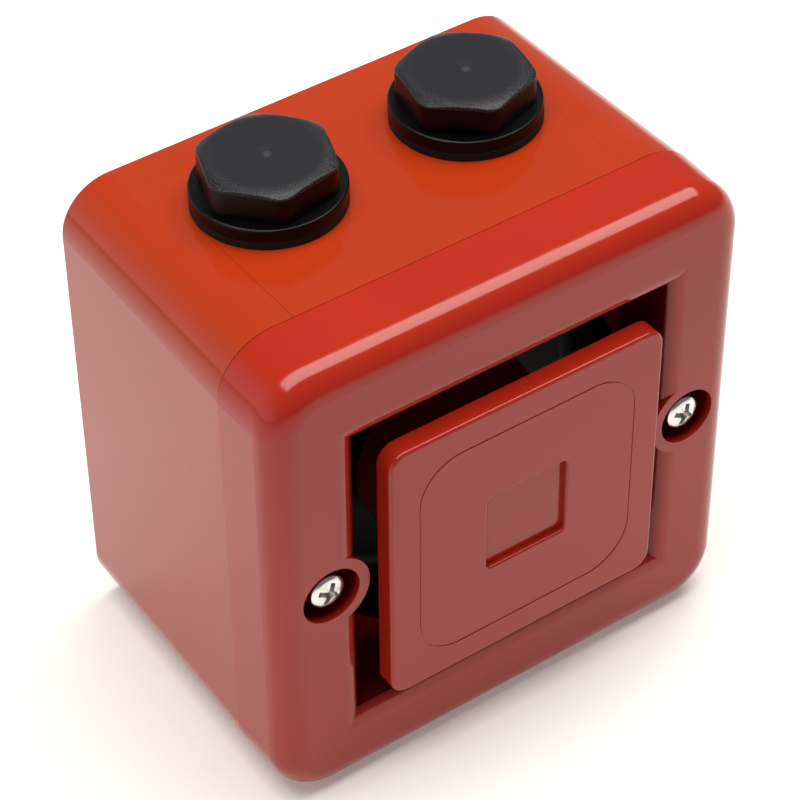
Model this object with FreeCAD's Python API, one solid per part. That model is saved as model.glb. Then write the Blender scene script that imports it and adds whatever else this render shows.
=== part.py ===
import FreeCAD, Part
import math
import os

Vector = FreeCAD.Vector

# A square wall-mounted alarm sounder with a folded horn. Lengths are in millimetres.
# The origin is the centre of the flat face that goes against the wall, -Y faces the
# listener and +Z points up to the two cable entries. A "depth" is a distance behind
# the front face, and every outline is centred on the horn's axis unless it says otherwise.

# Casing
body_size = 100.0
body_corner_radius = 11.0
front_edge_radius = 5.5
seam_depth = 15.5
seam_gap = 0.3
seam_step = 0.2
cover_draft_deg = 1.6
housing_draft_deg = 1.0
cover_wall = 2.8
cover_face = 3.0
housing_wall = 3.0
back_wall = 3.0

# Tongue on the cover, and the rebate and gasket in the housing rim
tongue_setback = 1.6
tongue_length = 2.5
tongue_clearance = 0.3
gasket_thickness = 1.5
gasket_width = 1.6
gasket_clearance = 0.05

# Square mouth: a convex lip, then a straight channel to a floor with a round hole
mouth_rim = 13.5
lip_radius = 4.3
lip_turn_deg = 50.0
channel_depth = 13.0
channel_draft_deg = 1.0
channel_wall = 2.2
mouth_floor_thickness = 2.0
mouth_floor_margin = 2.5

# Cover screws, each on a raised seat in a collar that stands out into the mouth
screw_inset = 11.15
collar_radius = 7.9
pocket_radius = 5.8
pocket_depth = 9.0
pocket_seat_radius = 3.9
screw_crown_depth = 0.4
screw_head_radius = 3.45
screw_head_height = 2.6
screw_head_rounding = 1.4
screw_radius = 1.75
screw_end_length = 1.0
screw_hole_radius = 2.1
screw_hole_wall = 2.05
screw_seal_radius = 3.3
screw_seal_thickness = 0.6
recess_width = 0.9
recess_length = 4.0
recess_depth = 1.4
boss_clearance = 0.5
boss_radius = 4.2
insert_radius = 2.6
insert_length = 8.0
insert_clearance = 0.05
tip_hole_radius = 2.0
tip_hole_length = 6.0
boss_rib_thickness = 2.0
boss_rib_setback = 1.0

# Horn bowl behind the mouth's floor: a square flange and a round bowl
flange_inset = 7.0
flange_corner_radius = 6.0
flange_thickness = 2.5
bowl_side_length = 10.0
bowl_side_taper = 3.4
bowl_heel_rounding = 4.0
bowl_floor_slope = 3.5
bowl_floor_wall = 3.0
bowl_wall = 2.2
bowl_pad_margin = 0.3
bowl_pad_height = 3.6
horn_screw_inset = 4.5
horn_screw_boss_radius = 3.4

# Throat tube, whose base is clamped in the back of the bowl
throat_radius = 5.5
throat_tube_wall = 2.0
throat_tip_gap = 6.0
throat_tip_rounding = 0.8
throat_base_radius = 9.0
throat_base_thickness = 1.5
throat_clearance = 0.1

# Deflector plate, with the bell on its back
plate_gap = 7.5
plate_proud = 3.6
plate_thickness = 3.9
plate_corner_radius = 3.5
plate_edge_radius = 0.7
plate_groove_inset = 5.95
plate_groove_radius = 9.0
plate_groove_width = 0.45
plate_groove_depth = 0.14
plate_recess_size = 18.1
plate_recess_depth = 1.2
plate_recess_corner = 1.0
plate_recess_edge = 0.5
bell_root_radius = 17.0
bell_root_depth = 0.5
bell_rim_radius = 19.3
bell_rim_gap = 7.5
bell_wall = 1.9
bell_crown_depth = 3.0
bell_crown_rounding = 4.0
bell_cone_radius = 6.0
bell_cone_height = 4.5
bell_post_count = 3
bell_post_circle = 13.2
bell_post_radius = 2.8
bell_pad_margin = 0.8
bell_pad_height = 1.5

# Small thread-forming screws, and the holes that take them
small_screw_radius = 1.4
small_screw_clearance = 0.3
small_core_clearance = 0.05
small_core_spare = 1.0
small_head_radius = 2.7
small_head_height = 1.8
bell_screw_length = 10.0
horn_screw_length = 9.0
board_screw_length = 8.0
driver_screw_length = 4.6
driver_core_spare = 0.4
driver_head_clearance = 0.1
driver_head_margin = 0.1

# Driver: case, clamped diaphragm with its coil, and a pot magnet
case_radius = 21.0
case_wall = 2.8
case_ledge_width = 1.7
case_chamber_length = 3.2
case_skirt_length = 3.5
case_flange_thickness = 2.0
throat_gasket_margin = 0.2
throat_gasket_thickness = 0.8
driver_screw_count = 3
diaphragm_thickness = 0.4
diaphragm_clearance = 0.2
dome_margin = 0.3
dome_height = 2.2
coil_thickness = 0.5
coil_clearance = 0.5
coil_length = 5.0
clamp_ring_thickness = 0.8
clamp_ring_overhang = 1.5
yoke_wall = 2.2
yoke_floor = 2.5
yoke_edge_radius = 1.5
gap_plate_thickness = 2.5
gap_plate_width = 4.8
pole_clearance = 0.7
pole_thickness = 2.4
magnet_inset = 0.5
magnet_thickness = 4.0

# Circuit board on four pillars, with its parts on the side that faces the wall
pillar_radius = 3.2
pillar_clearance = 0.9
pillar_stud_radius = 1.5
pillar_stud_length = 2.0
board_clearance = 3.9
board_side_margin = 4.5
board_end_margin = 5.0
board_corner_radius = 3.0
board_thickness = 1.6
board_boss_clearance = 1.0
terminal_ways = 6
terminal_pitch = 5.0
terminal_height = 9.0
terminal_width = 8.2
terminal_setback = 7.0
terminal_entry_size = 2.8
terminal_screw_radius = 1.5
terminal_screw_clearance = 0.2
terminal_screw_sink = 1.0
terminal_slot_width = 0.5
terminal_slot_depth = 0.7
wiring_clearance = 1.9
dip_ways = 5
dip_pitch = 2.54
dip_end_wall = 0.6
dip_x = -16.0
dip_z = 8.0
dip_body_width = 9.6
dip_body_height = 4.6
dip_slot_length = 3.6
dip_slot_width = 1.5
dip_slot_depth = 2.0
dip_travel = 1.6
dip_slider_clearance = 0.12
dip_slider_proud = 0.6
trimmer_x = 14.0
trimmer_z = 8.0
trimmer_size = 9.5
trimmer_height = 5.0
trimmer_corner_radius = 0.4
trimmer_rotor_radius = 3.2
trimmer_rotor_depth = 1.2
trimmer_rotor_proud = 0.2
trimmer_rotor_clearance = 0.08
trimmer_slot_width = 0.9
trimmer_slot_length = 4.5
trimmer_slot_depth = 0.6
trimmer_pointer_length = 2.9
slot_corner_radius = 0.1
chip_x = 0.0
chip_z = -8.0
chip_length = 19.0
chip_width = 6.4
chip_height = 3.4
chip_standoff = 0.5
chip_corner_radius = 0.3
chip_pins = 7
chip_pin_pitch = 2.54
chip_leg_width = 0.5
chip_leg_reach = 0.8
capacitor_x = 22.0
capacitor_z = -13.0
capacitor_radius = 4.0
capacitor_height = 8.5
capacitor_neck_radius = 3.7
capacitor_neck_length = 0.8
inductor_x = -20.0
inductor_z = -14.0
inductor_radius = 6.0
inductor_hole_radius = 2.6
inductor_height = 5.0
inductor_rounding = 1.0
lead_radius = 0.65
lead_pitch = 9.0
lead_spread = 2.7
lead_bend_radius = 2.5
tag_setback = 3.0
tag_thickness = 0.6
tag_width = 2.8
tag_length = 5.0
tag_reach = 2.6

# Cable entries in the top, closed by hexagon plugs on flat seals
entry_pitch = 41.4
entry_depth = 43.9
entry_radius = 10.0
entry_boss_radius = 13.5
entry_boss_length = 4.5
plug_thread_clearance = 0.05
plug_shank_length = 8.5
plug_shank_chamfer = 0.8
plug_bore_radius = 7.5
plug_seal_right_shift = 0.12
plug_seal_bore_clearance = 0.15
plug_seal_thickness = 1.6
plug_flange_radius = 13.8
plug_flange_thickness = 2.4
plug_flange_rounding = 0.4
plug_hex_across_flats = 22.6
plug_hex_rounding = 3.6
plug_crown_face_radius = 9.3
plug_crown_rounding = 6.8
plug_hex_edge_radius = 0.3
plug_height = 10.0
plug_dimple_radius = 2.1
plug_dimple_depth = 0.25
plug_nub_radius = 0.9
plug_left_turn_deg = 10.5
plug_right_turn_deg = 19.0

# Wall fixing holes
fixing_inset = 14.0
fixing_hole_radius = 2.25
fixing_pad_radius = 5.0
fixing_pad_height = 1.5

# Two places closer than this count as the same one
tolerance = 1e-4

# Outlines that follow from the casing's, in the order from the front to the back
mouth_size = body_size - 2 * mouth_rim
plate_size = mouth_size - 2 * plate_gap
plate_groove_size = plate_size - 2 * plate_groove_inset
screw_pitch = body_size - 2 * screw_inset
flange_size = body_size - 2 * flange_inset
horn_screw_pitch = flange_size - 2 * horn_screw_inset
bowl_mouth_radius = screw_pitch / 2 - screw_hole_radius - screw_hole_wall
bowl_heel_radius = bowl_mouth_radius - bowl_side_taper
pillar_pitch = math.sqrt(2) * (bowl_mouth_radius + bowl_wall + pillar_radius + pillar_clearance)
board_width = pillar_pitch + 2 * board_side_margin
board_height = pillar_pitch + 2 * board_end_margin
terminal_z = board_height / 2 - terminal_setback
fixing_pitch = body_size - 2 * fixing_inset

# Radii of the driver that follow from its case's
case_seat_radius = case_radius - case_wall
case_chamber_radius = case_seat_radius - case_ledge_width
driver_screw_circle = case_radius + driver_head_clearance + small_head_radius
case_flange_radius = driver_screw_circle + small_head_radius + driver_head_margin
throat_gasket_radius = case_flange_radius + throat_gasket_margin
bowl_pad_radius = throat_gasket_radius + bowl_pad_margin
clamp_ring_inner = case_chamber_radius - clamp_ring_overhang
yoke_radius = case_seat_radius - diaphragm_clearance
gap_plate_inner = yoke_radius - gap_plate_width
coil_radius = gap_plate_inner - coil_clearance - coil_thickness
dome_radius = coil_radius + dome_margin
pole_radius = coil_radius - pole_clearance
magnet_radius = pole_radius - magnet_inset

# Depths that follow from the stack of parts behind the mouth
flange_depth = channel_depth + mouth_floor_thickness
flange_back_depth = flange_depth + flange_thickness
bowl_heel_depth = flange_depth + bowl_side_length
bowl_floor_depth = bowl_heel_depth + bowl_floor_slope
bowl_back_depth = bowl_floor_depth + bowl_floor_wall
bell_rim_depth = bowl_floor_depth - bell_rim_gap
bell_post_end_depth = bowl_floor_depth - bell_pad_height
throat_tip_depth = bell_crown_depth + throat_tip_gap
boss_start_depth = bowl_back_depth + boss_clearance
driver_seat_depth = bowl_back_depth + throat_gasket_thickness
case_flange_end_depth = driver_seat_depth + case_flange_thickness
diaphragm_depth = case_flange_end_depth + case_chamber_length
clamp_ring_depth = diaphragm_depth + diaphragm_thickness
gap_plate_depth = clamp_ring_depth + clamp_ring_thickness
magnet_depth = gap_plate_depth + pole_thickness
yoke_floor_depth = magnet_depth + magnet_thickness
board_depth = yoke_floor_depth + yoke_floor + board_clearance
board_back_depth = board_depth + board_thickness
body_depth = board_back_depth + terminal_height + wiring_clearance + back_wall


def y_at(depth):
    """Y of the plane that lies this far behind the front face."""
    return depth - body_depth


def facing(depth, x=0.0, z=0.0):
    """Places outline points in a plane parallel to the wall."""
    return lambda point: Vector(x + point.x, y_at(depth), z + point.y)


def on_axis(x=0.0, z=0.0):
    """Places (radius, depth) points in a plane through an axis square to the wall."""
    return lambda point: Vector(x + point.x, y_at(point.y), z)


def upright(point):
    """Places (radius, height) points in a plane through the Z axis."""
    return Vector(point.x, 0.0, point.y)


def rounded_wire(corners, place):
    """Closed wire through corners (u, v, radius), each rounded by its own arc."""
    points = [Vector(u, v, 0.0) for u, v, radius in corners]
    starts, middles, ends = [], [], []
    for index, (u, v, radius) in enumerate(corners):
        here = points[index]
        back = (points[index - 1] - here).normalize()
        ahead = (points[(index + 1) % len(points)] - here).normalize()
        half_angle = back.getAngle(ahead) / 2
        inward = (back + ahead).normalize() if radius > 0 else Vector()
        starts.append(here + back * (radius / math.tan(half_angle)))
        ends.append(here + ahead * (radius / math.tan(half_angle)))
        middles.append(here + inward * (radius / math.sin(half_angle) - radius))
    edges = []
    for index, (u, v, radius) in enumerate(corners):
        following = starts[(index + 1) % len(points)]
        if radius > 0:
            edges.append(Part.Arc(place(starts[index]), place(middles[index]), place(ends[index])).toShape())
        if (following - ends[index]).Length > tolerance:
            edges.append(Part.LineSegment(place(ends[index]), place(following)).toShape())
    return Part.Wire(edges)


def square_corners(half_width, half_height, radius):
    """Corners of a rectangle centred on its plane's origin, all of one radius."""
    return [
        (-half_width, -half_height, radius),
        (half_width, -half_height, radius),
        (half_width, half_height, radius),
        (-half_width, half_height, radius),
    ]


def slab(half_width, half_height, radius, depth_from, depth_to, x=0.0, z=0.0):
    """Rounded rectangle parallel to the wall, between two depths."""
    wire = rounded_wire(square_corners(half_width, half_height, radius), facing(depth_from, x, z))
    return Part.Face(wire).extrude(Vector(0.0, depth_to - depth_from, 0.0))


def casing_block(inset_from, depth_from, inset_to, depth_to):
    """Block whose outline is the casing's own, moved inwards by an inset at each end."""
    wires = []
    for inset, depth in ((inset_from, depth_from), (inset_to, depth_to)):
        half = body_size / 2 - inset
        corners = square_corners(half, half, body_corner_radius - inset)
        wires.append(rounded_wire(corners, facing(depth)))
    return Part.makeLoft(wires, True, True)


def rod(radius, depth_from, depth_to, x=0.0, z=0.0):
    """Cylinder square to the wall, between two depths."""
    start = Vector(x, y_at(depth_from), z)
    return Part.makeCylinder(radius, depth_to - depth_from, start, Vector(0.0, 1.0, 0.0))


def ring(outer_radius, inner_radius, depth_from, depth_to, x=0.0, z=0.0):
    """Flat ring square to the wall, between two depths."""
    return rod(outer_radius, depth_from, depth_to, x, z).cut(rod(inner_radius, depth_from, depth_to, x, z))


def turned(corners, x=0.0, z=0.0):
    """Solid turned about an axis square to the wall, from corners (radius, depth, rounding)."""
    face = Part.Face(rounded_wire(corners, on_axis(x, z)))
    return upward_volume(face.revolve(Vector(x, 0.0, z), Vector(0.0, 1.0, 0.0), 360))


def upward_volume(solid):
    """The same solid, with its faces turned to point outwards."""
    if solid.Volume < 0:
        solid.reverse()
    return solid


def edges_at(shape, depth, reach=None):
    """Edges of a shape that lie at one depth, no further out than reach."""
    found = []
    for edge in shape.Edges:
        box = edge.BoundBox
        flat = abs(box.YMin - y_at(depth)) < tolerance and abs(box.YMax - y_at(depth)) < tolerance
        near = reach is None or max(abs(box.XMin), abs(box.XMax), abs(box.ZMin), abs(box.ZMax)) < reach
        if flat and near:
            found.append(edge)
    return found


def around(count, circle_radius, first_deg):
    """(x, z) places evenly spaced round the horn's axis."""
    turns = [math.radians(first_deg + 360.0 * index / count) for index in range(count)]
    return [(circle_radius * math.cos(turn), circle_radius * math.sin(turn)) for turn in turns]


def at_corners(pitch):
    """(x, z) places at the four corners of a square."""
    return [(x * pitch / 2, z * pitch / 2) for x in (-1, 1) for z in (-1, 1)]


def fuse_all(first, others):
    """One solid from overlapping ones, with its split faces joined again."""
    return first.fuse(others).removeSplitter()


def cover_inset(depth):
    """How far the drafted cover has come in from the seam's outline."""
    return (seam_depth - depth) * math.tan(math.radians(cover_draft_deg))


def housing_inset(depth):
    """How far the drafted housing has come in from the seam's outline."""
    return seam_step + (depth - seam_depth) * math.tan(math.radians(housing_draft_deg))


def mouth_prism(along):
    """Full-height or full-width cutter with the mouth's section: lip, edge and channel."""
    lip_half = mouth_size / 2
    turn = math.radians(lip_turn_deg)
    edge_half = lip_half - lip_radius * math.sin(turn)
    edge_depth = lip_radius * (1 - math.cos(turn))
    middle_half = lip_half - lip_radius * math.sin(turn / 2)
    middle_depth = lip_radius * (1 - math.cos(turn / 2))
    end_half = edge_half - (channel_depth - edge_depth) * math.tan(math.radians(channel_draft_deg))
    overshoot = 1.0

    def place(across, depth):
        if along == "Z":
            return Vector(across, y_at(depth), -mouth_size)
        return Vector(-mouth_size, y_at(depth), across)

    edges = [Part.LineSegment(place(-lip_half, -overshoot), place(lip_half, -overshoot)).toShape()]
    for side in (1, -1):
        start = place(side * lip_half, 0.0)
        middle = place(side * middle_half, middle_depth)
        end = place(side * edge_half, edge_depth)
        edges.append(Part.LineSegment(place(side * lip_half, -overshoot), start).toShape())
        edges.append(Part.Arc(start, middle, end).toShape())
        edges.append(Part.LineSegment(end, place(side * end_half, channel_depth)).toShape())
    edges.append(Part.LineSegment(place(end_half, channel_depth), place(-end_half, channel_depth)).toShape())
    section = Part.Face(Part.Wire(Part.__sortEdges__(edges)))
    length = 2 * mouth_size
    return section.extrude(Vector(0, 0, length) if along == "Z" else Vector(length, 0, 0))


def screw_sides():
    """X of the two cover screws."""
    return [-screw_pitch / 2, screw_pitch / 2]


def channel_outer_half():
    """Half the outside size of the mouth's channel walls."""
    return mouth_size / 2 - lip_radius * math.sin(math.radians(lip_turn_deg)) + channel_wall


def make_front_cover():
    """Front cover: drafted shell, square mouth, screw collars, horn bosses and tongue."""
    front_inset = cover_inset(0.0)
    seam_face = seam_depth - seam_gap
    block = casing_block(front_inset, 0.0, cover_inset(seam_face), seam_face)
    block = block.makeFillet(front_edge_radius, edges_at(block, 0.0))
    hollow = casing_block(front_inset + cover_wall, cover_face, cover_wall, seam_depth)
    hollow = hollow.makeFillet(front_edge_radius - cover_wall, edges_at(hollow, cover_face))
    shell = block.cut(hollow)

    tongue_end = seam_depth + tongue_length
    root = seam_face - tongue_length
    tongue = casing_block(tongue_setback, root, tongue_setback, tongue_end)
    tongue = tongue.cut(casing_block(cover_wall, root, cover_wall, tongue_end))
    channel_half = channel_outer_half()
    floor_half = bowl_mouth_radius + mouth_floor_margin
    walls = slab(channel_half, channel_half, channel_wall, cover_face / 2, channel_depth)
    floor = slab(floor_half, floor_half, channel_wall, channel_depth, flange_depth)
    bosses = [rod(horn_screw_boss_radius, cover_face / 2, flange_depth, x, z)
              for x, z in at_corners(horn_screw_pitch)]
    mouth = mouth_prism("Z").common(mouth_prism("X"))
    collars = [rod(collar_radius, 0.0, flange_depth, x).common(block) for x in screw_sides()]
    cover = shell.fuse([tongue, walls, floor] + bosses).cut(mouth).fuse(collars)

    cuts = [rod(bowl_mouth_radius, channel_depth, flange_depth)]
    seat_depth = screw_seat_depth()
    for x in screw_sides():
        cuts.append(rod(pocket_radius, 0.0, seat_depth, x))
        cuts.append(ring(pocket_radius, pocket_seat_radius, seat_depth, pocket_depth, x))
        cuts.append(rod(screw_hole_radius, 0.0, flange_depth, x))
    core_radius = small_screw_radius + small_core_clearance
    core_start = flange_back_depth - horn_screw_length - small_core_spare
    cuts += [rod(core_radius, core_start, flange_depth, x, z) for x, z in at_corners(horn_screw_pitch)]
    return cover.cut(cuts).removeSplitter()


def screw_seat_depth():
    """Depth of the raised seat under a cover screw's seal."""
    return screw_crown_depth + screw_head_height + screw_seal_thickness


def make_horn_bowl():
    """Horn bowl: square flange, round bowl, pads under the bell's posts and the driver's seat."""
    hole_radius = throat_radius + throat_tube_wall + throat_clearance
    outer_heel_depth = bowl_heel_depth + bowl_wall
    pad_start = bowl_back_depth - bowl_pad_height
    bowl = turned([
        (bowl_mouth_radius, flange_depth, 0.0),
        (bowl_heel_radius, bowl_heel_depth, bowl_heel_rounding),
        (hole_radius, bowl_floor_depth, 0.0),
        (hole_radius, bowl_back_depth, 0.0),
        (bowl_pad_radius, bowl_back_depth, 0.0),
        (bowl_pad_radius, pad_start, 0.0),
        (bowl_heel_radius + bowl_wall, outer_heel_depth, 0.0),
        (bowl_mouth_radius + bowl_wall, flange_depth, 0.0),
    ])
    half = flange_size / 2
    flange = slab(half, half, flange_corner_radius, flange_depth, flange_back_depth)
    flange = flange.cut(rod(bowl_mouth_radius + bowl_wall / 2, flange_depth, flange_back_depth))
    pads = [rod(bell_post_radius + bell_pad_margin, bell_post_end_depth, bowl_back_depth, x, z)
            for x, z in bell_post_places()]
    solid = bowl.fuse([flange] + pads)

    clearance = small_screw_radius + small_screw_clearance
    core = small_screw_radius + small_core_clearance
    stud_hole = pillar_stud_radius + small_core_clearance
    base_start = bowl_back_depth - throat_base_thickness
    cuts = [rod(throat_base_radius + throat_clearance, base_start, bowl_back_depth)]
    cuts += [rod(screw_hole_radius, flange_depth, flange_back_depth, x) for x in screw_sides()]
    cuts += [rod(clearance, flange_depth, flange_back_depth, x, z) for x, z in at_corners(horn_screw_pitch)]
    cuts += [rod(stud_hole, flange_depth, flange_back_depth, x, z) for x, z in at_corners(pillar_pitch)]
    for x, z in bell_post_places():
        cuts.append(rod(clearance, bell_post_end_depth, bowl_back_depth, x, z))
        cuts.append(countersunk_head(bowl_back_depth, small_screw_clearance, x, z))
    driver_core_start = case_flange_end_depth - driver_screw_length - driver_core_spare
    cuts += [rod(core, driver_core_start, bowl_back_depth, x, z) for x, z in driver_screw_places()]
    return solid.cut(cuts).removeSplitter()


def make_throat_tube():
    """Throat tube that points forward into the bell, with the base that holds it."""
    tube_radius = throat_radius + throat_tube_wall
    base_start = bowl_back_depth - throat_base_thickness
    return turned([
        (throat_radius, throat_tip_depth, 0.0),
        (tube_radius, throat_tip_depth, throat_tip_rounding),
        (tube_radius, base_start, 0.0),
        (throat_base_radius, base_start, 0.0),
        (throat_base_radius, bowl_back_depth, 0.0),
        (throat_radius, bowl_back_depth, 0.0),
    ])


def make_board_pillars():
    """Four pillars screwed into the bowl's flange, which carry the circuit board."""
    core = small_screw_radius + small_core_clearance
    core_start = board_back_depth - board_screw_length - small_core_spare
    pillars = []
    for x, z in at_corners(pillar_pitch):
        stud = rod(pillar_stud_radius, flange_back_depth - pillar_stud_length, flange_back_depth, x, z)
        pillar = rod(pillar_radius, flange_back_depth, board_depth, x, z).fuse(stud)
        pillars.append(pillar.cut(rod(core, core_start, board_depth, x, z)).removeSplitter())
    return Part.makeCompound(pillars)


def bell_post_places():
    return around(bell_post_count, bell_post_circle, 90.0)


def driver_screw_places():
    return around(driver_screw_count, driver_screw_circle, 30.0)


def countersunk_head(surface_depth, clearance, x, z):
    """Cone of a countersunk head that is flush with a surface facing the wall."""
    radius = small_head_radius + clearance
    start = Vector(x, y_at(surface_depth - small_head_height - clearance), z)
    return Part.makeCone(small_screw_radius + clearance, radius, small_head_height + clearance,
                         start, Vector(0.0, 1.0, 0.0))


def make_horn_plate():
    """Deflector plate with its groove and recess, and the bell and posts on its back."""
    front = -plate_proud
    back = front + plate_thickness
    half = plate_size / 2
    plate = slab(half, half, plate_corner_radius, front, back)
    plate = plate.makeFillet(plate_edge_radius, edges_at(plate, front))
    root = front + plate_recess_depth + bell_root_depth
    bell = turned([
        (0.0, root, 0.0),
        (bell_root_radius, root, 0.0),
        (bell_rim_radius, bell_rim_depth, 0.0),
        (bell_rim_radius - bell_wall, bell_rim_depth, 0.0),
        (bell_root_radius - bell_wall, bell_crown_depth, bell_crown_rounding),
        (bell_cone_radius, bell_crown_depth, 0.0),
        (0.0, bell_crown_depth + bell_cone_height, 0.0),
    ])
    posts = [rod(bell_post_radius, back, bell_post_end_depth, x, z) for x, z in bell_post_places()]
    solid = fuse_all(plate, [bell] + posts)

    groove_outer = (plate_groove_size + plate_groove_width) / 2
    groove_inner = (plate_groove_size - plate_groove_width) / 2
    groove_floor = front + plate_groove_depth
    outer_radius = plate_groove_radius + plate_groove_width / 2
    inner_radius = plate_groove_radius - plate_groove_width / 2
    groove = slab(groove_outer, groove_outer, outer_radius, front, groove_floor)
    groove = groove.cut(slab(groove_inner, groove_inner, inner_radius, front, groove_floor))
    recess_half = plate_recess_size / 2 - plate_recess_edge
    recess = slab(recess_half, recess_half, plate_recess_corner, front, front + plate_recess_depth)
    core = small_screw_radius + small_core_clearance
    core_start = bowl_back_depth - bell_screw_length - small_core_spare
    cores = [rod(core, core_start, bell_post_end_depth, x, z) for x, z in bell_post_places()]
    solid = solid.cut([groove, recess] + cores)
    return solid.makeFillet(plate_recess_edge, edges_at(solid, front, plate_recess_size / 2))


def make_cover_screw(x):
    """Pan-head machine screw with a cross recess, on the left or right side."""
    head_end = screw_crown_depth + screw_head_height
    tip = boss_start_depth + insert_length + screw_end_length
    screw = turned([
        (0.0, screw_crown_depth, 0.0),
        (screw_head_radius, screw_crown_depth, screw_head_rounding),
        (screw_head_radius, head_end, 0.0),
        (screw_radius, head_end, 0.0),
        (screw_radius, tip - screw_radius / 2, 0.0),
        (screw_radius / 2, tip, 0.0),
        (0.0, tip, 0.0),
    ], x)
    floor = screw_crown_depth + recess_depth
    arms = [
        slab(recess_length / 2, recess_width / 2, slot_corner_radius, screw_crown_depth, floor, x),
        slab(recess_width / 2, recess_length / 2, slot_corner_radius, screw_crown_depth, floor, x),
    ]
    return screw.cut(arms)


def make_screw_seal(x):
    """Flat sealing ring under a cover screw's head."""
    seat = screw_seat_depth()
    return ring(screw_seal_radius, screw_hole_radius, seat - screw_seal_thickness, seat, x)


def small_screw(head_face_depth, length, x, z):
    """Pan-head screw put in from the wall side, with its head standing on a face."""
    shank = rod(small_screw_radius, head_face_depth - length, head_face_depth, x, z)
    head = rod(small_head_radius, head_face_depth, head_face_depth + small_head_height, x, z)
    slot_floor = head_face_depth + small_head_height / 2
    slot_end = head_face_depth + small_head_height
    slot = slab(small_head_radius, recess_width / 2, slot_corner_radius, slot_floor, slot_end, x, z)
    return shank.fuse(head).cut(slot).removeSplitter()


def make_horn_screws():
    """Four screws that hold the horn bowl in the front cover."""
    return Part.makeCompound([small_screw(flange_back_depth, horn_screw_length, x, z)
                              for x, z in at_corners(horn_screw_pitch)])


def make_bell_screws():
    """Countersunk screws through the bowl into the posts of the deflector."""
    screws = []
    for x, z in bell_post_places():
        shank = rod(small_screw_radius, bowl_back_depth - bell_screw_length, bowl_back_depth, x, z)
        screws.append(shank.fuse(countersunk_head(bowl_back_depth, 0.0, x, z)).removeSplitter())
    return Part.makeCompound(screws)


def make_driver_screws():
    """Screws that hold the driver on the back of the horn bowl."""
    return Part.makeCompound([small_screw(case_flange_end_depth, driver_screw_length, x, z)
                              for x, z in driver_screw_places()])


def make_board_screws():
    """Screws that hold the circuit board on the four pillars."""
    return Part.makeCompound([small_screw(board_back_depth, board_screw_length, x, z)
                              for x, z in at_corners(pillar_pitch)])


def make_throat_gasket():
    """Ring seal between the horn bowl and the driver."""
    gasket = ring(throat_gasket_radius, throat_radius, bowl_back_depth, driver_seat_depth)
    clearance = small_screw_radius + small_screw_clearance
    holes = [rod(clearance, bowl_back_depth, driver_seat_depth, x, z) for x, z in driver_screw_places()]
    return gasket.cut(holes)


def make_driver_case():
    """Moulded driver case: flange, throat hole, front chamber and seat for the diaphragm."""
    skirt_end = diaphragm_depth + case_skirt_length
    case = turned([
        (throat_radius, driver_seat_depth, 0.0),
        (case_flange_radius, driver_seat_depth, 0.0),
        (case_flange_radius, case_flange_end_depth, 0.0),
        (case_radius, case_flange_end_depth, 0.0),
        (case_radius, skirt_end, 0.0),
        (case_seat_radius, skirt_end, 0.0),
        (case_seat_radius, diaphragm_depth, 0.0),
        (case_chamber_radius, diaphragm_depth, 0.0),
        (case_chamber_radius, case_flange_end_depth, 0.0),
        (throat_radius, case_flange_end_depth, 0.0),
    ])
    clearance = small_screw_radius + small_screw_clearance
    return case.cut([rod(clearance, driver_seat_depth, case_flange_end_depth, x, z)
                     for x, z in driver_screw_places()])


def make_diaphragm():
    """Domed diaphragm with a flat rim, one thin sheet."""
    rim = diaphragm_depth
    rim_radius = case_seat_radius - diaphragm_clearance
    crown = rim - dome_height
    sphere_radius = (dome_radius ** 2 + dome_height ** 2) / (2 * dome_height)
    place = on_axis()
    inner = sphere_radius - diaphragm_thickness
    centre_depth = crown + sphere_radius
    inner_foot = math.sqrt(inner ** 2 - (centre_depth - rim - diaphragm_thickness) ** 2)
    outer_turn = math.asin(dome_radius / sphere_radius) / 2
    inner_turn = math.asin(inner_foot / inner) / 2
    outer_middle = Vector(math.sin(outer_turn), -math.cos(outer_turn), 0) * sphere_radius
    inner_middle = Vector(math.sin(inner_turn), -math.cos(inner_turn), 0) * inner
    outer_middle += Vector(0, centre_depth, 0)
    inner_middle += Vector(0, centre_depth, 0)
    back = rim + diaphragm_thickness
    outer_top, outer_foot = Vector(0, crown, 0), Vector(dome_radius, rim, 0)
    inner_top, inner_end = Vector(0, crown + diaphragm_thickness, 0), Vector(inner_foot, back, 0)
    edges = [
        Part.Arc(place(outer_top), place(outer_middle), place(outer_foot)).toShape(),
        Part.LineSegment(place(outer_foot), place(Vector(rim_radius, rim, 0))).toShape(),
        Part.LineSegment(place(Vector(rim_radius, rim, 0)), place(Vector(rim_radius, back, 0))).toShape(),
        Part.LineSegment(place(Vector(rim_radius, back, 0)), place(inner_end)).toShape(),
        Part.Arc(place(inner_end), place(inner_middle), place(inner_top)).toShape(),
        Part.LineSegment(place(inner_top), place(outer_top)).toShape(),
    ]
    section = Part.Face(Part.Wire(edges))
    return upward_volume(section.revolve(Vector(), Vector(0.0, 1.0, 0.0), 360))


def make_voice_coil():
    """Coil on its former, standing on the back of the diaphragm."""
    end = clamp_ring_depth + coil_length
    return ring(coil_radius + coil_thickness, coil_radius, clamp_ring_depth, end)


def make_clamp_ring():
    """Ring between the diaphragm's rim and the gap plate."""
    outer = case_seat_radius - diaphragm_clearance
    return ring(outer, clamp_ring_inner, clamp_ring_depth, gap_plate_depth)


def make_gap_plate():
    """Steel plate round the voice coil gap."""
    return ring(yoke_radius, gap_plate_inner, gap_plate_depth, gap_plate_depth + gap_plate_thickness)


def make_pole_piece():
    """Steel disc inside the voice coil, on the magnet."""
    return rod(pole_radius, gap_plate_depth, magnet_depth)


def make_magnet():
    """Disc magnet between the pole piece and the yoke's floor."""
    return rod(magnet_radius, magnet_depth, yoke_floor_depth)


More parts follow.
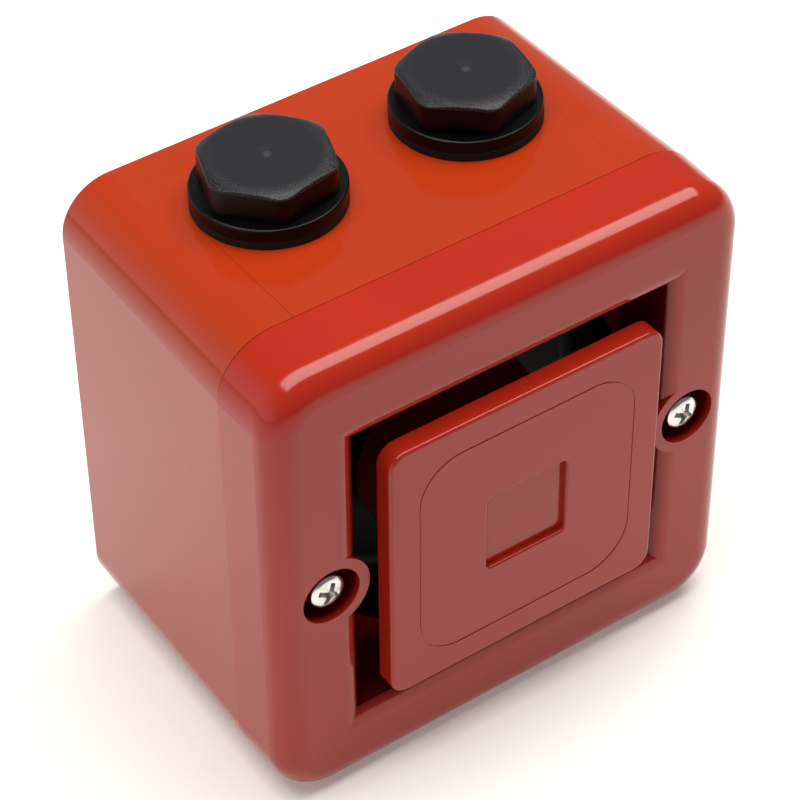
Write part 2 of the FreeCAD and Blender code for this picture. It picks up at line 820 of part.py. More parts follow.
def make_yoke():
    """Steel cup that carries the magnet and closes the circuit to the gap plate."""
    start = gap_plate_depth + gap_plate_thickness
    end = yoke_floor_depth + yoke_floor
    return turned([
        (yoke_radius - yoke_wall, start, 0.0),
        (yoke_radius, start, 0.0),
        (yoke_radius, end, yoke_edge_radius),
        (0.0, end, 0.0),
        (0.0, yoke_floor_depth, 0.0),
        (yoke_radius - yoke_wall, yoke_floor_depth, 0.0),
    ])


def tag_root_z():
    """Height of the driver case's barrel where a solder tag stands on it."""
    return -math.sqrt(case_radius ** 2 - (lead_pitch / 2) ** 2)


def make_driver_tags():
    """Two solder tags on the driver case."""
    tags = []
    end = diaphragm_depth + tag_setback
    start = end - tag_length
    low = tag_root_z() - tag_reach
    barrel = rod(case_radius, start, end)
    for side in (-1, 1):
        corner = Vector(side * lead_pitch / 2 - tag_width / 2, y_at(start), low)
        upright_leaf = Part.makeBox(tag_width, tag_length, tag_thickness, corner)
        foot = Part.makeBox(tag_width, tag_thickness, tag_reach + tag_thickness, corner)
        tags.append(upright_leaf.fuse(foot).cut(barrel).removeSplitter())
    return Part.makeCompound(tags)


def make_driver_lead(side):
    """Insulated wire from a driver tag to the circuit board."""
    x = side * lead_pitch / 2
    tag_z = tag_root_z() - tag_reach - lead_radius
    board_z = tag_z - lead_spread
    tag_end = diaphragm_depth + tag_setback
    step = (board_depth - tag_end) / 3
    route = [
        Vector(x, y_at(tag_end - tag_length / 2), tag_z),
        Vector(x, y_at(tag_end + step), tag_z),
        Vector(x, y_at(tag_end + 2 * step), board_z),
        Vector(x, y_at(board_depth), board_z),
    ]
    edges = []
    here = route[0]
    for index in (1, 2):
        corner = route[index]
        back = (route[index - 1] - corner).normalize()
        ahead = (route[index + 1] - corner).normalize()
        half_angle = back.getAngle(ahead) / 2
        reach = lead_bend_radius / math.tan(half_angle)
        arc_middle = corner + (back + ahead).normalize() * lead_bend_radius * (1 / math.sin(half_angle) - 1)
        arc_start, arc_end = corner + back * reach, corner + ahead * reach
        edges.append(Part.LineSegment(here, arc_start).toShape())
        edges.append(Part.Arc(arc_start, arc_middle, arc_end).toShape())
        here = arc_end
    edges.append(Part.LineSegment(here, route[3]).toShape())
    path = Part.Wire(edges)
    circle = Part.Wire(Part.makeCircle(lead_radius, route[0], Vector(0.0, 1.0, 0.0)))
    return upward_volume(path.makePipeShell([circle], True, False))


def make_circuit_board():
    """Circuit board with holes for its four screws, kept clear of the housing's bosses."""
    board = slab(board_width / 2, board_height / 2, board_corner_radius, board_depth, board_back_depth)
    clearance = small_screw_radius + small_screw_clearance
    holes = [rod(clearance, board_depth, board_back_depth, x, z) for x, z in at_corners(pillar_pitch)]
    boss_space = boss_radius + board_boss_clearance
    return board.cut(holes + [rod(boss_space, board_depth, board_back_depth, x) for x in screw_sides()])


def on_board(half_width, half_height, height, x, z, radius=0.0):
    """Block that stands on the board's wall side."""
    return slab(half_width, half_height, radius, board_back_depth, board_back_depth + height, x, z)


def terminal_places():
    return [(index - (terminal_ways - 1) / 2) * terminal_pitch for index in range(terminal_ways)]


def terminal_entry_depth():
    """Depth of the middle of the terminal block's wire entries."""
    return board_back_depth + terminal_height * 2 / 5


def make_terminal_block():
    """Screw terminal block: one wire entry and one screw well for each way."""
    block = on_board(terminal_ways * terminal_pitch / 2, terminal_width / 2, terminal_height, 0.0, terminal_z)
    top = board_back_depth + terminal_height
    middle = terminal_entry_depth()
    entry_half = terminal_entry_size / 2
    cuts = []
    for x in terminal_places():
        corner = Vector(x - entry_half, y_at(middle) - entry_half, terminal_z)
        cuts.append(Part.makeBox(terminal_entry_size, terminal_entry_size, terminal_width, corner))
        cuts.append(rod(terminal_screw_radius + terminal_screw_clearance, middle, top, x, terminal_z))
    return block.cut(cuts)


def make_terminal_screws():
    """Slotted clamping screws in the terminal block."""
    top = board_back_depth + terminal_height - terminal_screw_sink
    middle = terminal_entry_depth()
    screws = []
    for x in terminal_places():
        screw = rod(terminal_screw_radius, middle, top, x, terminal_z)
        slot = slab(terminal_screw_radius, terminal_slot_width / 2, slot_corner_radius,
                    top - terminal_slot_depth, top, x, terminal_z)
        screws.append(screw.cut(slot))
    return Part.makeCompound(screws)


def dip_places():
    return [dip_x + (index - (dip_ways - 1) / 2) * dip_pitch for index in range(dip_ways)]


def make_dip_switch():
    """Switch body with one slot for each slider."""
    half_length = dip_ways * dip_pitch / 2 + dip_end_wall
    block = on_board(half_length, dip_body_width / 2, dip_body_height, dip_x, dip_z)
    top = board_back_depth + dip_body_height
    half = dip_slot_length / 2
    slots = [slab(dip_slot_width / 2, half, slot_corner_radius, top - dip_slot_depth, top, x, dip_z)
             for x in dip_places()]
    return block.cut(slots)


def make_dip_slider(x):
    """One slider, at the end of its slot."""
    top = board_back_depth + dip_body_height
    half_width = dip_slot_width / 2 - dip_slider_clearance
    half_length = (dip_slot_length - dip_travel) / 2 - dip_slider_clearance
    z = dip_z - dip_travel / 2
    floor = top - dip_slot_depth + dip_slider_clearance
    return slab(half_width, half_length, slot_corner_radius, floor, top + dip_slider_proud, x, z)


def make_volume_trimmer():
    """Square trimmer body with a round well for its rotor."""
    half = trimmer_size / 2
    block = on_board(half, half, trimmer_height, trimmer_x, trimmer_z, trimmer_corner_radius)
    top = board_back_depth + trimmer_height
    well_radius = trimmer_rotor_radius + trimmer_rotor_clearance
    return block.cut(rod(well_radius, top - trimmer_rotor_depth, top, trimmer_x, trimmer_z))


def make_trimmer_rotor():
    """Rotor with a screwdriver slot and a pointer notch."""
    top = board_back_depth + trimmer_height + trimmer_rotor_proud
    floor = top - trimmer_rotor_proud - trimmer_rotor_depth + trimmer_rotor_clearance
    rotor = rod(trimmer_rotor_radius, floor, top, trimmer_x, trimmer_z)
    slot_floor = top - trimmer_slot_depth
    half_slot, half_pointer = trimmer_slot_width / 2, trimmer_pointer_length / 2
    slot = slab(trimmer_slot_length / 2, half_slot, slot_corner_radius, slot_floor, top, trimmer_x, trimmer_z)
    notch = slab(half_slot, half_pointer, slot_corner_radius, slot_floor, top,
                 trimmer_x, trimmer_z + half_pointer)
    return rotor.cut([slot, notch])


def make_tone_chip():
    """Tone generator chip with two rows of legs."""
    top = board_back_depth + chip_height
    body = slab(chip_length / 2, chip_width / 2, chip_corner_radius, board_back_depth + chip_standoff, top,
                chip_x, chip_z)
    leg_top = board_back_depth + chip_height / 2
    legs = []
    for index in range(chip_pins):
        x = chip_x + (index - (chip_pins - 1) / 2) * chip_pin_pitch
        for side in (-1, 1):
            z = chip_z + side * chip_width / 2
            legs.append(slab(chip_leg_width / 2, chip_leg_reach, 0.0, board_back_depth, leg_top, x, z))
    return body.fuse(legs).removeSplitter()


def make_capacitor():
    """Electrolytic capacitor with a rolled neck."""
    start = board_back_depth
    return turned([
        (0.0, start, 0.0),
        (capacitor_radius, start, 0.0),
        (capacitor_radius, start + capacitor_neck_length, 0.0),
        (capacitor_neck_radius, start + 2 * capacitor_neck_length, 0.0),
        (capacitor_radius, start + 3 * capacitor_neck_length, 0.0),
        (capacitor_radius, start + capacitor_height, 0.0),
        (0.0, start + capacitor_height, 0.0),
    ], capacitor_x, capacitor_z)


def make_inductor():
    """Wound ring choke lying on the board."""
    end = board_back_depth + inductor_height
    return turned([
        (inductor_hole_radius, board_back_depth, 0.0),
        (inductor_radius, board_back_depth, 0.0),
        (inductor_radius, end, inductor_rounding),
        (inductor_hole_radius, end, inductor_rounding),
    ], inductor_x, inductor_z)


def housing_top(depth):
    """Height of the housing's drafted top face at a depth."""
    return body_size / 2 - housing_inset(depth)


def at_entry(shape, x):
    """Moves a shape from the Z axis to a cable entry, square to the drafted top."""
    placed = shape.copy()
    placed.rotate(Vector(), Vector(1.0, 0.0, 0.0), -housing_draft_deg)
    placed.translate(Vector(x, y_at(entry_depth), housing_top(entry_depth)))
    return placed


def upright_rod(radius, height_from, height_to):
    return Part.makeCylinder(radius, height_to - height_from, Vector(0.0, 0.0, height_from))


def upright_turned(corners):
    """Solid turned about the Z axis, from corners (radius, height, rounding)."""
    face = Part.Face(rounded_wire(corners, upright))
    return upward_volume(face.revolve(Vector(), Vector(0.0, 0.0, 1.0), 360))


def make_rear_housing():
    """Rear housing: drafted box, gasket rebate, screw bosses, entry bosses and fixing holes."""
    outer = casing_block(housing_inset(seam_depth), seam_depth, housing_inset(body_depth), body_depth)
    inner_end = body_depth - back_wall
    mouth_inset = housing_inset(seam_depth) + housing_wall
    hollow = casing_block(mouth_inset, seam_depth, housing_inset(inner_end) + housing_wall, inner_end)
    rebate_end = seam_depth + tongue_length + gasket_thickness
    rebate_inset = tongue_setback - tongue_clearance
    rebate = casing_block(rebate_inset, seam_depth, rebate_inset, rebate_end)
    shell = outer.cut([hollow, rebate])

    rib_start = boss_start_depth + boss_rib_setback
    inner_side = body_size / 2 - housing_inset(boss_start_depth) - housing_wall / 2
    root_end = body_depth - back_wall / 2
    additions = []
    for x in screw_sides():
        additions.append(rod(boss_radius, boss_start_depth, root_end, x))
        rib_from, rib_to = sorted([x, math.copysign(inner_side, x)])
        corner = Vector(rib_from, y_at(rib_start), -boss_rib_thickness / 2)
        additions.append(Part.makeBox(rib_to - rib_from, inner_end - rib_start, boss_rib_thickness, corner))
    pad_start = inner_end - fixing_pad_height
    additions += [rod(fixing_pad_radius, pad_start, root_end, x, z) for x, z in at_corners(fixing_pitch)]
    entry_boss = upright_rod(entry_boss_radius, -housing_wall - entry_boss_length, -housing_wall / 2)
    entries = [-entry_pitch / 2, entry_pitch / 2]
    additions += [at_entry(entry_boss, x) for x in entries]
    housing = fuse_all(shell, additions)

    insert_end = boss_start_depth + insert_length
    cuts = [rod(insert_radius, boss_start_depth, insert_end, x) for x in screw_sides()]
    cuts += [rod(tip_hole_radius, insert_end, insert_end + tip_hole_length, x) for x in screw_sides()]
    cuts += [rod(fixing_hole_radius, pad_start, body_depth, x, z) for x, z in at_corners(fixing_pitch)]
    entry_hole = upright_rod(entry_radius, -2 * (housing_wall + entry_boss_length), housing_wall)
    cuts += [at_entry(entry_hole, x) for x in entries]
    return housing.cut(cuts).removeSplitter()


def make_housing_gasket():
    """Seal that lies in the housing's rebate, under the cover's tongue."""
    start = seam_depth + tongue_length
    end = start + gasket_thickness
    outer = tongue_setback - tongue_clearance + gasket_clearance
    inner = outer + gasket_width
    return casing_block(outer, start, outer, end).cut(casing_block(inner, start, inner, end))


def make_threaded_inserts():
    """Brass inserts in the two screw bosses."""
    end = boss_start_depth + insert_length
    bore = screw_radius + insert_clearance
    return Part.makeCompound([ring(insert_radius, bore, boss_start_depth, end, x) for x in screw_sides()])


def make_sealing_washer(x, shift):
    """Flat seal between a plug's flange and the housing, off centre within its bore's clearance."""
    washer = upright_rod(plug_flange_radius, 0.0, plug_seal_thickness)
    bore = upright_rod(entry_radius + plug_seal_bore_clearance, 0.0, plug_seal_thickness)
    washer = washer.cut(bore)
    washer.translate(Vector(0.0, -shift, 0.0))
    return at_entry(washer, x)


def make_plug_head(foot, turn_deg):
    """Hexagon head under a rounded crown, from inside the flange up to the plug's top."""
    corner_reach = plug_hex_across_flats / math.sqrt(3)
    turns = [math.radians(turn_deg + 60.0 * index) for index in range(6)]
    corners = [(corner_reach * math.cos(turn), corner_reach * math.sin(turn), plug_hex_rounding)
               for turn in turns]
    outline = rounded_wire(corners, lambda point: Vector(point.x, point.y, foot))
    prism = Part.Face(outline).extrude(Vector(0, 0, plug_height - foot))
    crown_reach = plug_crown_face_radius + plug_crown_rounding
    crown = upright_turned([
        (0.0, foot, 0.0),
        (crown_reach, foot, 0.0),
        (crown_reach, plug_height, plug_crown_rounding),
        (0.0, plug_height, 0.0),
    ])
    head = prism.common(crown)
    shoulder_edges = [edge for edge in head.Edges
                      if edge.BoundBox.ZMin > foot + tolerance
                      and edge.BoundBox.ZMax < plug_height - tolerance]
    return head.makeFillet(plug_hex_edge_radius, shoulder_edges)


def cap_sphere(cap_radius, cap_height):
    """Radius of the sphere whose cap has this radius and height."""
    return (cap_radius ** 2 + cap_height ** 2) / (2 * cap_height)


def make_blanking_plug(x, turn_deg):
    """Moulded stopping plug: hollow shank, flange, hexagon head and a dimple with the gate's nub."""
    shank_radius = entry_radius - plug_thread_clearance
    flange_top = plug_seal_thickness + plug_flange_thickness
    flange_middle = plug_seal_thickness + plug_flange_thickness / 2
    body = upright_turned([
        (0.0, -plug_shank_length, 0.0),
        (shank_radius - plug_shank_chamfer, -plug_shank_length, 0.0),
        (shank_radius, -plug_shank_length + plug_shank_chamfer, 0.0),
        (shank_radius, plug_seal_thickness, 0.0),
        (plug_flange_radius, plug_seal_thickness, 0.0),
        (plug_flange_radius, flange_top, plug_flange_rounding),
        (0.0, flange_top, 0.0),
    ])
    head = make_plug_head(flange_middle, turn_deg)
    dimple_radius = cap_sphere(plug_dimple_radius, plug_dimple_depth)
    dimple = Part.makeSphere(dimple_radius, Vector(0, 0, plug_height - plug_dimple_depth + dimple_radius))
    nub_radius = cap_sphere(plug_nub_radius, plug_dimple_depth)
    nub = Part.makeSphere(nub_radius, Vector(0, 0, plug_height - nub_radius))
    nub = nub.common(upright_rod(plug_nub_radius, flange_top, plug_height))
    bore = upright_rod(plug_bore_radius, -plug_shank_length, 0.0)
    plug = body.fuse(head).cut([dimple, bore]).fuse(nub).removeSplitter()
    return at_entry(plug, x)


def make_parts():
    """Every sub-part by its name."""
    left, right = screw_sides()
    entry_left, entry_right = -entry_pitch / 2, entry_pitch / 2
    parts = {
        "rear_housing": make_rear_housing(),
        "housing_gasket": make_housing_gasket(),
        "threaded_inserts": make_threaded_inserts(),
        "sealing_washer_left": make_sealing_washer(entry_left, 0.0),
        "sealing_washer_right": make_sealing_washer(entry_right, plug_seal_right_shift),
        "blanking_plug_left": make_blanking_plug(entry_left, plug_left_turn_deg),
        "blanking_plug_right": make_blanking_plug(entry_right, plug_right_turn_deg),
        "front_cover": make_front_cover(),
        "horn_bowl": make_horn_bowl(),
        "throat_tube": make_throat_tube(),
        "board_pillars": make_board_pillars(),
        "horn_plate": make_horn_plate(),
        "horn_screws": make_horn_screws(),
        "bell_screws": make_bell_screws(),
        "cover_screw_left": make_cover_screw(left),
        "cover_screw_right": make_cover_screw(right),
        "screw_seal_left": make_screw_seal(left),
        "screw_seal_right": make_screw_seal(right),
        "throat_gasket": make_throat_gasket(),
        "driver_case": make_driver_case(),
        "driver_screws": make_driver_screws(),
        "diaphragm": make_diaphragm(),
        "voice_coil": make_voice_coil(),
        "clamp_ring": make_clamp_ring(),
        "gap_plate": make_gap_plate(),
        "pole_piece": make_pole_piece(),
        "magnet": make_magnet(),
        "yoke": make_yoke(),
        "driver_tags": make_driver_tags(),
        "driver_lead_left": make_driver_lead(-1),
        "driver_lead_right": make_driver_lead(1),
        "circuit_board": make_circuit_board(),
        "board_screws": make_board_screws(),
        "terminal_block": make_terminal_block(),
        "terminal_screws": make_terminal_screws(),
        "dip_switch": make_dip_switch(),
        "volume_trimmer": make_volume_trimmer(),
        "trimmer_rotor": make_trimmer_rotor(),
        "tone_chip": make_tone_chip(),
        "capacitor": make_capacitor(),
        "inductor": make_inductor(),
    }
    for index, x in enumerate(dip_places()):
        parts["dip_slider_%d" % (index + 1)] = make_dip_slider(x)
    return parts


os.makedirs("parts", exist_ok=True)
for name, shape in make_parts().items():
    shape.exportStep("parts/%s.step" % name)
    box = shape.BoundBox
    print("%-22s solids %d valid %s volume %9.1f  x %.1f %.1f  y %.1f %.1f  z %.1f %.1f" % (
        name, len(shape.Solids), shape.isValid(), shape.Volume,
        box.XMin, box.XMax, box.YMin, box.YMax, box.ZMin, box.ZMax))
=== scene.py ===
import math

import bmesh
import bpy
from mathutils import Matrix, Vector


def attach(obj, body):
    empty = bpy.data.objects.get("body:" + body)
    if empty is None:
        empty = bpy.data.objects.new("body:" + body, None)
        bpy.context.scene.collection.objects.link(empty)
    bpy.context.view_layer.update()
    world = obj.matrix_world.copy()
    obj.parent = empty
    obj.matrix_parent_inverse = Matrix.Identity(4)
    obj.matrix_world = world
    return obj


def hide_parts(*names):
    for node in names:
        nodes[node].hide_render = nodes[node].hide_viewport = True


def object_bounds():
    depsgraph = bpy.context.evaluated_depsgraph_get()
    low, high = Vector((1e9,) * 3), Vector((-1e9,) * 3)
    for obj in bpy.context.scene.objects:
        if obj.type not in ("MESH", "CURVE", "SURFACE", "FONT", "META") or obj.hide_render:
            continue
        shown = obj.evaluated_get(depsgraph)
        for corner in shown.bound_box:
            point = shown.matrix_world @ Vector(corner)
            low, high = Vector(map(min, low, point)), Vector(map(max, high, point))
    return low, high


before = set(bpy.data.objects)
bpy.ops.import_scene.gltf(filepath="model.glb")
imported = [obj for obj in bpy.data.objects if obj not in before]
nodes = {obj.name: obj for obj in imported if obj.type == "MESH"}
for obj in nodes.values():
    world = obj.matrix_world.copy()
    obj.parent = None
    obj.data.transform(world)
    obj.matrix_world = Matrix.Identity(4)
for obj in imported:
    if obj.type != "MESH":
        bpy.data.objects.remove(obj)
cad_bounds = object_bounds()

MM = 0.001
BODY_DEPTH = 67.0
FLOOR_Z = cad_bounds[0].z

# Camera, as a focal length in pixels of the 800 pixel wide picture, a place and three directions
PICTURE_WIDTH = 800
FOCAL_PIXELS = 2969.21
SENSOR_WIDTH = 36.0
CAMERA_PLACE = (-0.228524, -0.361787, 0.366293)
CAMERA_RIGHT = (0.81847563, -0.57450108, -0.00679332)
CAMERA_UP = (0.39229169, 0.55017017, 0.73717027)
CAMERA_FORWARD = (0.41976763, 0.60602087, -0.67567288)

# Plastic colours, linear
RED = (0.333, 0.0170, 0.0065)
RED_HOUSING = (0.328, 0.0270, 0.0042)
RED_PAINTED_SHADE = (0.115, 0.0022, 0.0020)
RED_GROOVE_PAINTED_LIGHT = (0.38, 0.030, 0.018)
BLACK_PLUG = (0.0006, 0.0006, 0.0008)
BLACK_TOP_PAINTED_LIGHT = (0.0092, 0.0089, 0.0128)
BLACK_NUB_PAINTED_HIGHLIGHT = (0.030, 0.029, 0.033)
BLACK_HORN = (0.0022, 0.0018, 0.0018)
GREY_SCUFF_AND_GLINT = (0.16, 0.16, 0.17)

# Painted shade inside the cover's front: half the width and height of the mouth and the screw pockets
# together, and the depths between which the painted shade deepens
PAINTED_SHADE_HALF = (44.7, 39.0)
PAINTED_SHADE_DEPTHS = (0.3, 1.8)

# Deflector plate: its front's depth, the distances from the middle between which the thin groove
# lies, and how far behind the front the groove is, which bound the groove's painted light
PLATE_FRONT = -3.6
GROOVE_REACH = (13.0, 23.6)
GROOVE_SUNK = (0.02, 0.8)

# Cover screws
SCREW_X = 38.85
SCREW_CROWN = 0.4
SCREW_HEAD_RADIUS = 3.45
SCREW_HEAD_END = 3.0
SCREW_RADIUS = 1.75
SCREW_CORE_RADIUS = 1.45
SCREW_THREAD_START = 14.0
SCREW_TIP = 41.0
SCREW_PITCH = 0.6

# Cross recess in a screw's head: where its cutters start, its floor, and its wings and ticks as half
# a length and half a width at the top and again at the bottom
RECESS_TOP = SCREW_CROWN - 0.5
RECESS_FLOOR = SCREW_CROWN + 1.75
RECESS_WING = (3.05, 0.62, 0.95, 0.36)
RECESS_TICK_FLOOR = SCREW_CROWN + 0.57
RECESS_TICK = (2.4, 0.07, 1.6, 0.03)
RECESS_POINT_RADII = (1.0, 0.62)
RECESS_POINT_LENGTH = 0.25

# Circuit board, as places (x, z) on its side that faces the wall
BOARD_FACE = 53.1
TERMINAL_X = (-12.5, -7.5, -2.5, 2.5, 7.5, 12.5)
TERMINAL_LOW_Z = 22.9
SWITCH_X = (-21.08, -18.54, -16.0, -13.46, -10.92)
SWITCH_Z = 8.0
SWITCH_HALF = (6.95, 4.8)
TRIMMER_PLACE = (14.0, 8.0)
TRIMMER_HALF = 4.75
CHIP_PLACE = (0.0, -8.0)
CHIP_PIN_PITCH = 2.54
CHIP_HALF = (9.5, 4.0)
CAPACITOR_PLACE = (22.0, -13.0)
CAPACITOR_RADIUS = 4.0
CHOKE_PLACE = (-20.0, -14.0)
CHOKE_RADII = (2.6, 6.0)
CHOKE_HEIGHT = 5.0
CHOKE_TURNS = 24
LEAD_PLACES = ((-4.5, -26.5), (4.5, -26.5))
UPPER_ROW_Z = 18.0
LOWER_ROW_Z = -20.0
LOWER_ROW_X = (-8.0, -4.0, 0.0, 4.0, 8.0)

# Chip parts in the two rows, as half a width, half a length and a height, and the foot that they have
RESISTOR = (0.8, 1.6, 0.55)
CHIP_CAPACITOR = (1.0, 1.5, 1.0)
CHIP_FOOT = 0.05

# Tracks and print on the board: how far the tracks reach past a row's middle and past the chip's
# side, the heights of the lowest ones, and widths
ROW_REACH = 1.6
PIN_REACH = 0.4
LEAD_BEND_Z = -24.0
POWER_LINE_Z = -23.5
TRACK_HEIGHT = 0.07
SUPPLY_TRACK, SIGNAL_TRACK, SWITCH_TRACK = 0.9, 0.6, 0.45
PIN_TRACK, LEAD_TRACK, POWER_TRACK = 0.5, 1.0, 1.4
PRINT_WIDTH, PRINT_HEIGHT = 0.22, 0.1

# Stopping plugs: a place beside the middle and behind the front, the height above which a face
# belongs to the crown, and the radii between which the flat face ends, the rim starts and the nub ends
PLUG_X = 20.7
PLUG_DEPTH = 43.96
PLUG_CROWN_Z = 58.4
PLUG_FACE_END = (9.0, 10.2)
PLUG_RIM = (10.3, 11.3)
PLUG_NUB_END = (0.5, 1.1)

# Witness rectangle on the housing's top: half its width, the depths where it starts and ends, where
# its left line stops showing, how far its lines cross, half their width, and the lowest height
WITNESS_HALF_WIDTH = 34.5
WITNESS_START = 15.0
WITNESS_DEPTH = 59.2
WITNESS_SHOWN_DEPTH = 45.0
WITNESS_CROSSING = 0.1
WITNESS_LINE_HALF = 0.14
WITNESS_Z = 48.5

# Floor, light and room
FLOOR_HALF = 6.0
FLOOR_WHITE = (0.78, 0.78, 0.78)
FLOOR_GLOW = (1.0, 1.0, 0.94)
FLOOR_GLOW_STRENGTH = 0.18
LIGHT_COLOR = (1.0, 0.96, 0.88)
LIGHT_PLACE = (0.12, 0.0, 0.85)
LIGHT_TARGET = (0.12, 0.0, 0.0)
LIGHT_SIZE = (1.25, 0.60)
LIGHT_WATTS = 15.4
ROOM_STRENGTH = 0.18
BACKDROP_STRENGTH = 1.1
BACKDROP_TOWARD = (-0.64, 0.77, 0.0)
BACKDROP_HEIGHT = (0.70, 0.0)
BACKDROP_FACING = (-0.1, 0.5)


def y_at(depth):
    """Y in metres of the plane this many millimetres behind the front face."""
    return (depth - BODY_DEPTH) * MM


# ---- materials


class Surface:
    """A Principled material whose detail comes from procedural nodes in object space."""

    def __init__(self, name, roughness, metallic=0.0, ior=1.5):
        self.material = bpy.data.materials.new(name)
        self.material.use_nodes = True
        self.tree = self.material.node_tree
        self.shader = self.tree.nodes["Principled BSDF"]
        self.shader.inputs["Metallic"].default_value = metallic
        self.shader.inputs["IOR"].default_value = ior
        self.shader.inputs["Roughness"].default_value = roughness
        self.place = self.tree.nodes.new("ShaderNodeTexCoord").outputs["Object"]
        self.base = None
        self.normal = None

    def node(self, kind, **settings):
        made = self.tree.nodes.new(kind)
        for key, value in settings.items():
            setattr(made, key, value)
        return made

    def join(self, output, node, socket):
        self.tree.links.new(output, node.inputs[socket])

    def axes(self):
        """X, Y and Z of the place on the surface, in metres."""
        split = self.node("ShaderNodeSeparateXYZ")
        self.join(self.place, split, "Vector")
        return split.outputs["X"], split.outputs["Y"], split.outputs["Z"]

    def noise(self, scale, detail=2.0, roughness=0.5, stretch=None):
        """Noise value; scale is in waves per metre."""
        texture = self.node("ShaderNodeTexNoise")
        texture.inputs["Scale"].default_value = scale
        texture.inputs["Detail"].default_value = detail
        texture.inputs["Roughness"].default_value = roughness
        place = self.place
        if stretch:
            mapping = self.node("ShaderNodeMapping")
            mapping.inputs["Scale"].default_value = stretch
            self.join(place, mapping, "Vector")
            place = mapping.outputs["Vector"]
        self.join(place, texture, "Vector")
        return texture.outputs["Fac"]

    def spread(self, value, low, high, start=0.3, end=0.7):
        """Maps a value from start..end to low..high."""
        mapped = self.node("ShaderNodeMapRange")
        self.join(value, mapped, "Value")
        mapped.inputs["From Min"].default_value = start
        mapped.inputs["From Max"].default_value = end
        mapped.inputs["To Min"].default_value = low
        mapped.inputs["To Max"].default_value = high
        return mapped.outputs["Result"]

    def math(self, operation, first, second):
        made = self.node("ShaderNodeMath", operation=operation)
        for index, value in enumerate((first, second)):
            if isinstance(value, float):
                made.inputs[index].default_value = value
            else:
                self.join(value, made, index)
        return made.outputs["Value"]

    def times(self, first, second):
        return self.math("MULTIPLY", first, second)

    def absolute(self, value):
        return self.math("ABSOLUTE", value, 0.0)

    def blend(self, factor, first, second):
        """Colour between two colours, by a factor."""
        made = self.node("ShaderNodeMix", data_type="RGBA")
        self.join(factor, made, "Factor")
        for socket, value in ((6, first), (7, second)):
            if isinstance(value, tuple):
                made.inputs[socket].default_value = (*value, 1.0)
            else:
                self.tree.links.new(value, made.inputs[socket])
        return made.outputs[2]

    def color(self, value):
        self.join(value, self.shader, "Base Color")
        self.base = value

    def rough(self, value):
        self.join(value, self.shader, "Roughness")

    def bump(self, height, distance, strength=1.0):
        """Adds a height in units of distance metres on top of the bumps already there."""
        made = self.node("ShaderNodeBump")
        made.inputs["Strength"].default_value = strength
        made.inputs["Distance"].default_value = distance
        self.join(height, made, "Height")
        if self.normal is not None:
            self.join(self.normal, made, "Normal")
        self.normal = made.outputs["Normal"]
        self.join(self.normal, self.shader, "Normal")


def shade(color, factor):
    return tuple(channel * factor for channel in color)


def mottled(name, color, vary, roughness, patch=90.0, metallic=0.0, ior=1.5):
    """Surface whose colour and gloss drift a little from place to place."""
    surface = Surface(name, roughness[0], metallic, ior)
    drift = surface.spread(surface.noise(patch, 3.0), 0.0, 1.0)
    surface.color(surface.blend(drift, shade(color, 1.0 - vary), shade(color, 1.0 + vary)))
    fine = surface.noise(patch * 4.1, 4.0)
    surface.rough(surface.spread(fine, roughness[0], roughness[1]))
    return surface


def glossy_red(name, color):
    """Moulded gloss: faint flow waves and a fine skin."""
    surface = mottled(name, color, 0.03, (0.10, 0.15), patch=45.0, ior=1.42)
    surface.bump(surface.noise(120.0, 2.0), 0.00003, 0.25)
    surface.bump(surface.noise(1500.0, 3.0), 0.000003, 0.5)
    return surface


def line_mask(surface, axis_value, centre, half_width):
    """1 on a thin line where a coordinate equals centre, 0 away from it."""
    distance = surface.absolute(surface.math("SUBTRACT", axis_value, centre))
    return surface.spread(distance, 1.0, 0.0, half_width * 0.4, half_width)


def within(surface, value, low, high):
    """1 where a value lies between two others, 0 elsewhere."""
    above = surface.math("GREATER_THAN", value, low)
    below = surface.math("LESS_THAN", value, high)
    return surface.times(above, below)


def cover_red():
    """Cover plastic with painted shade: its red is darker inside the mouth and the screw pockets."""
    surface = glossy_red("cover_gloss", RED)
    x, y, z = surface.axes()
    inner = surface.spread(y, 0.0, 1.0, y_at(PAINTED_SHADE_DEPTHS[0]), y_at(PAINTED_SHADE_DEPTHS[1]))
    for value, half in zip((x, z), PAINTED_SHADE_HALF):
        inside = surface.math("LESS_THAN", surface.absolute(value), half * MM)
        inner = surface.times(inner, inside)
    # Painted shade: a darker red where shade falls in the mouth and the screw pockets
    surface.color(surface.blend(inner, surface.base, RED_PAINTED_SHADE))
    return surface.material


def plate_red():
    """Plate plastic, with painted light in the shallow groove, which is paler than the face to lift its
    shade.
    """
    surface = glossy_red("plate_gloss", RED)
    x, y, z = surface.axes()
    reach = surface.math("MAXIMUM", surface.absolute(x), surface.absolute(z))
    ring = within(surface, reach, GROOVE_REACH[0] * MM, GROOVE_REACH[1] * MM)
    sunk = within(surface, y, y_at(PLATE_FRONT + GROOVE_SUNK[0]), y_at(PLATE_FRONT + GROOVE_SUNK[1]))
    # Painted light: the groove is painted paler to lift the shade that falls in it
    surface.color(surface.blend(surface.times(ring, sunk), surface.base, RED_GROOVE_PAINTED_LIGHT))
    return surface.material


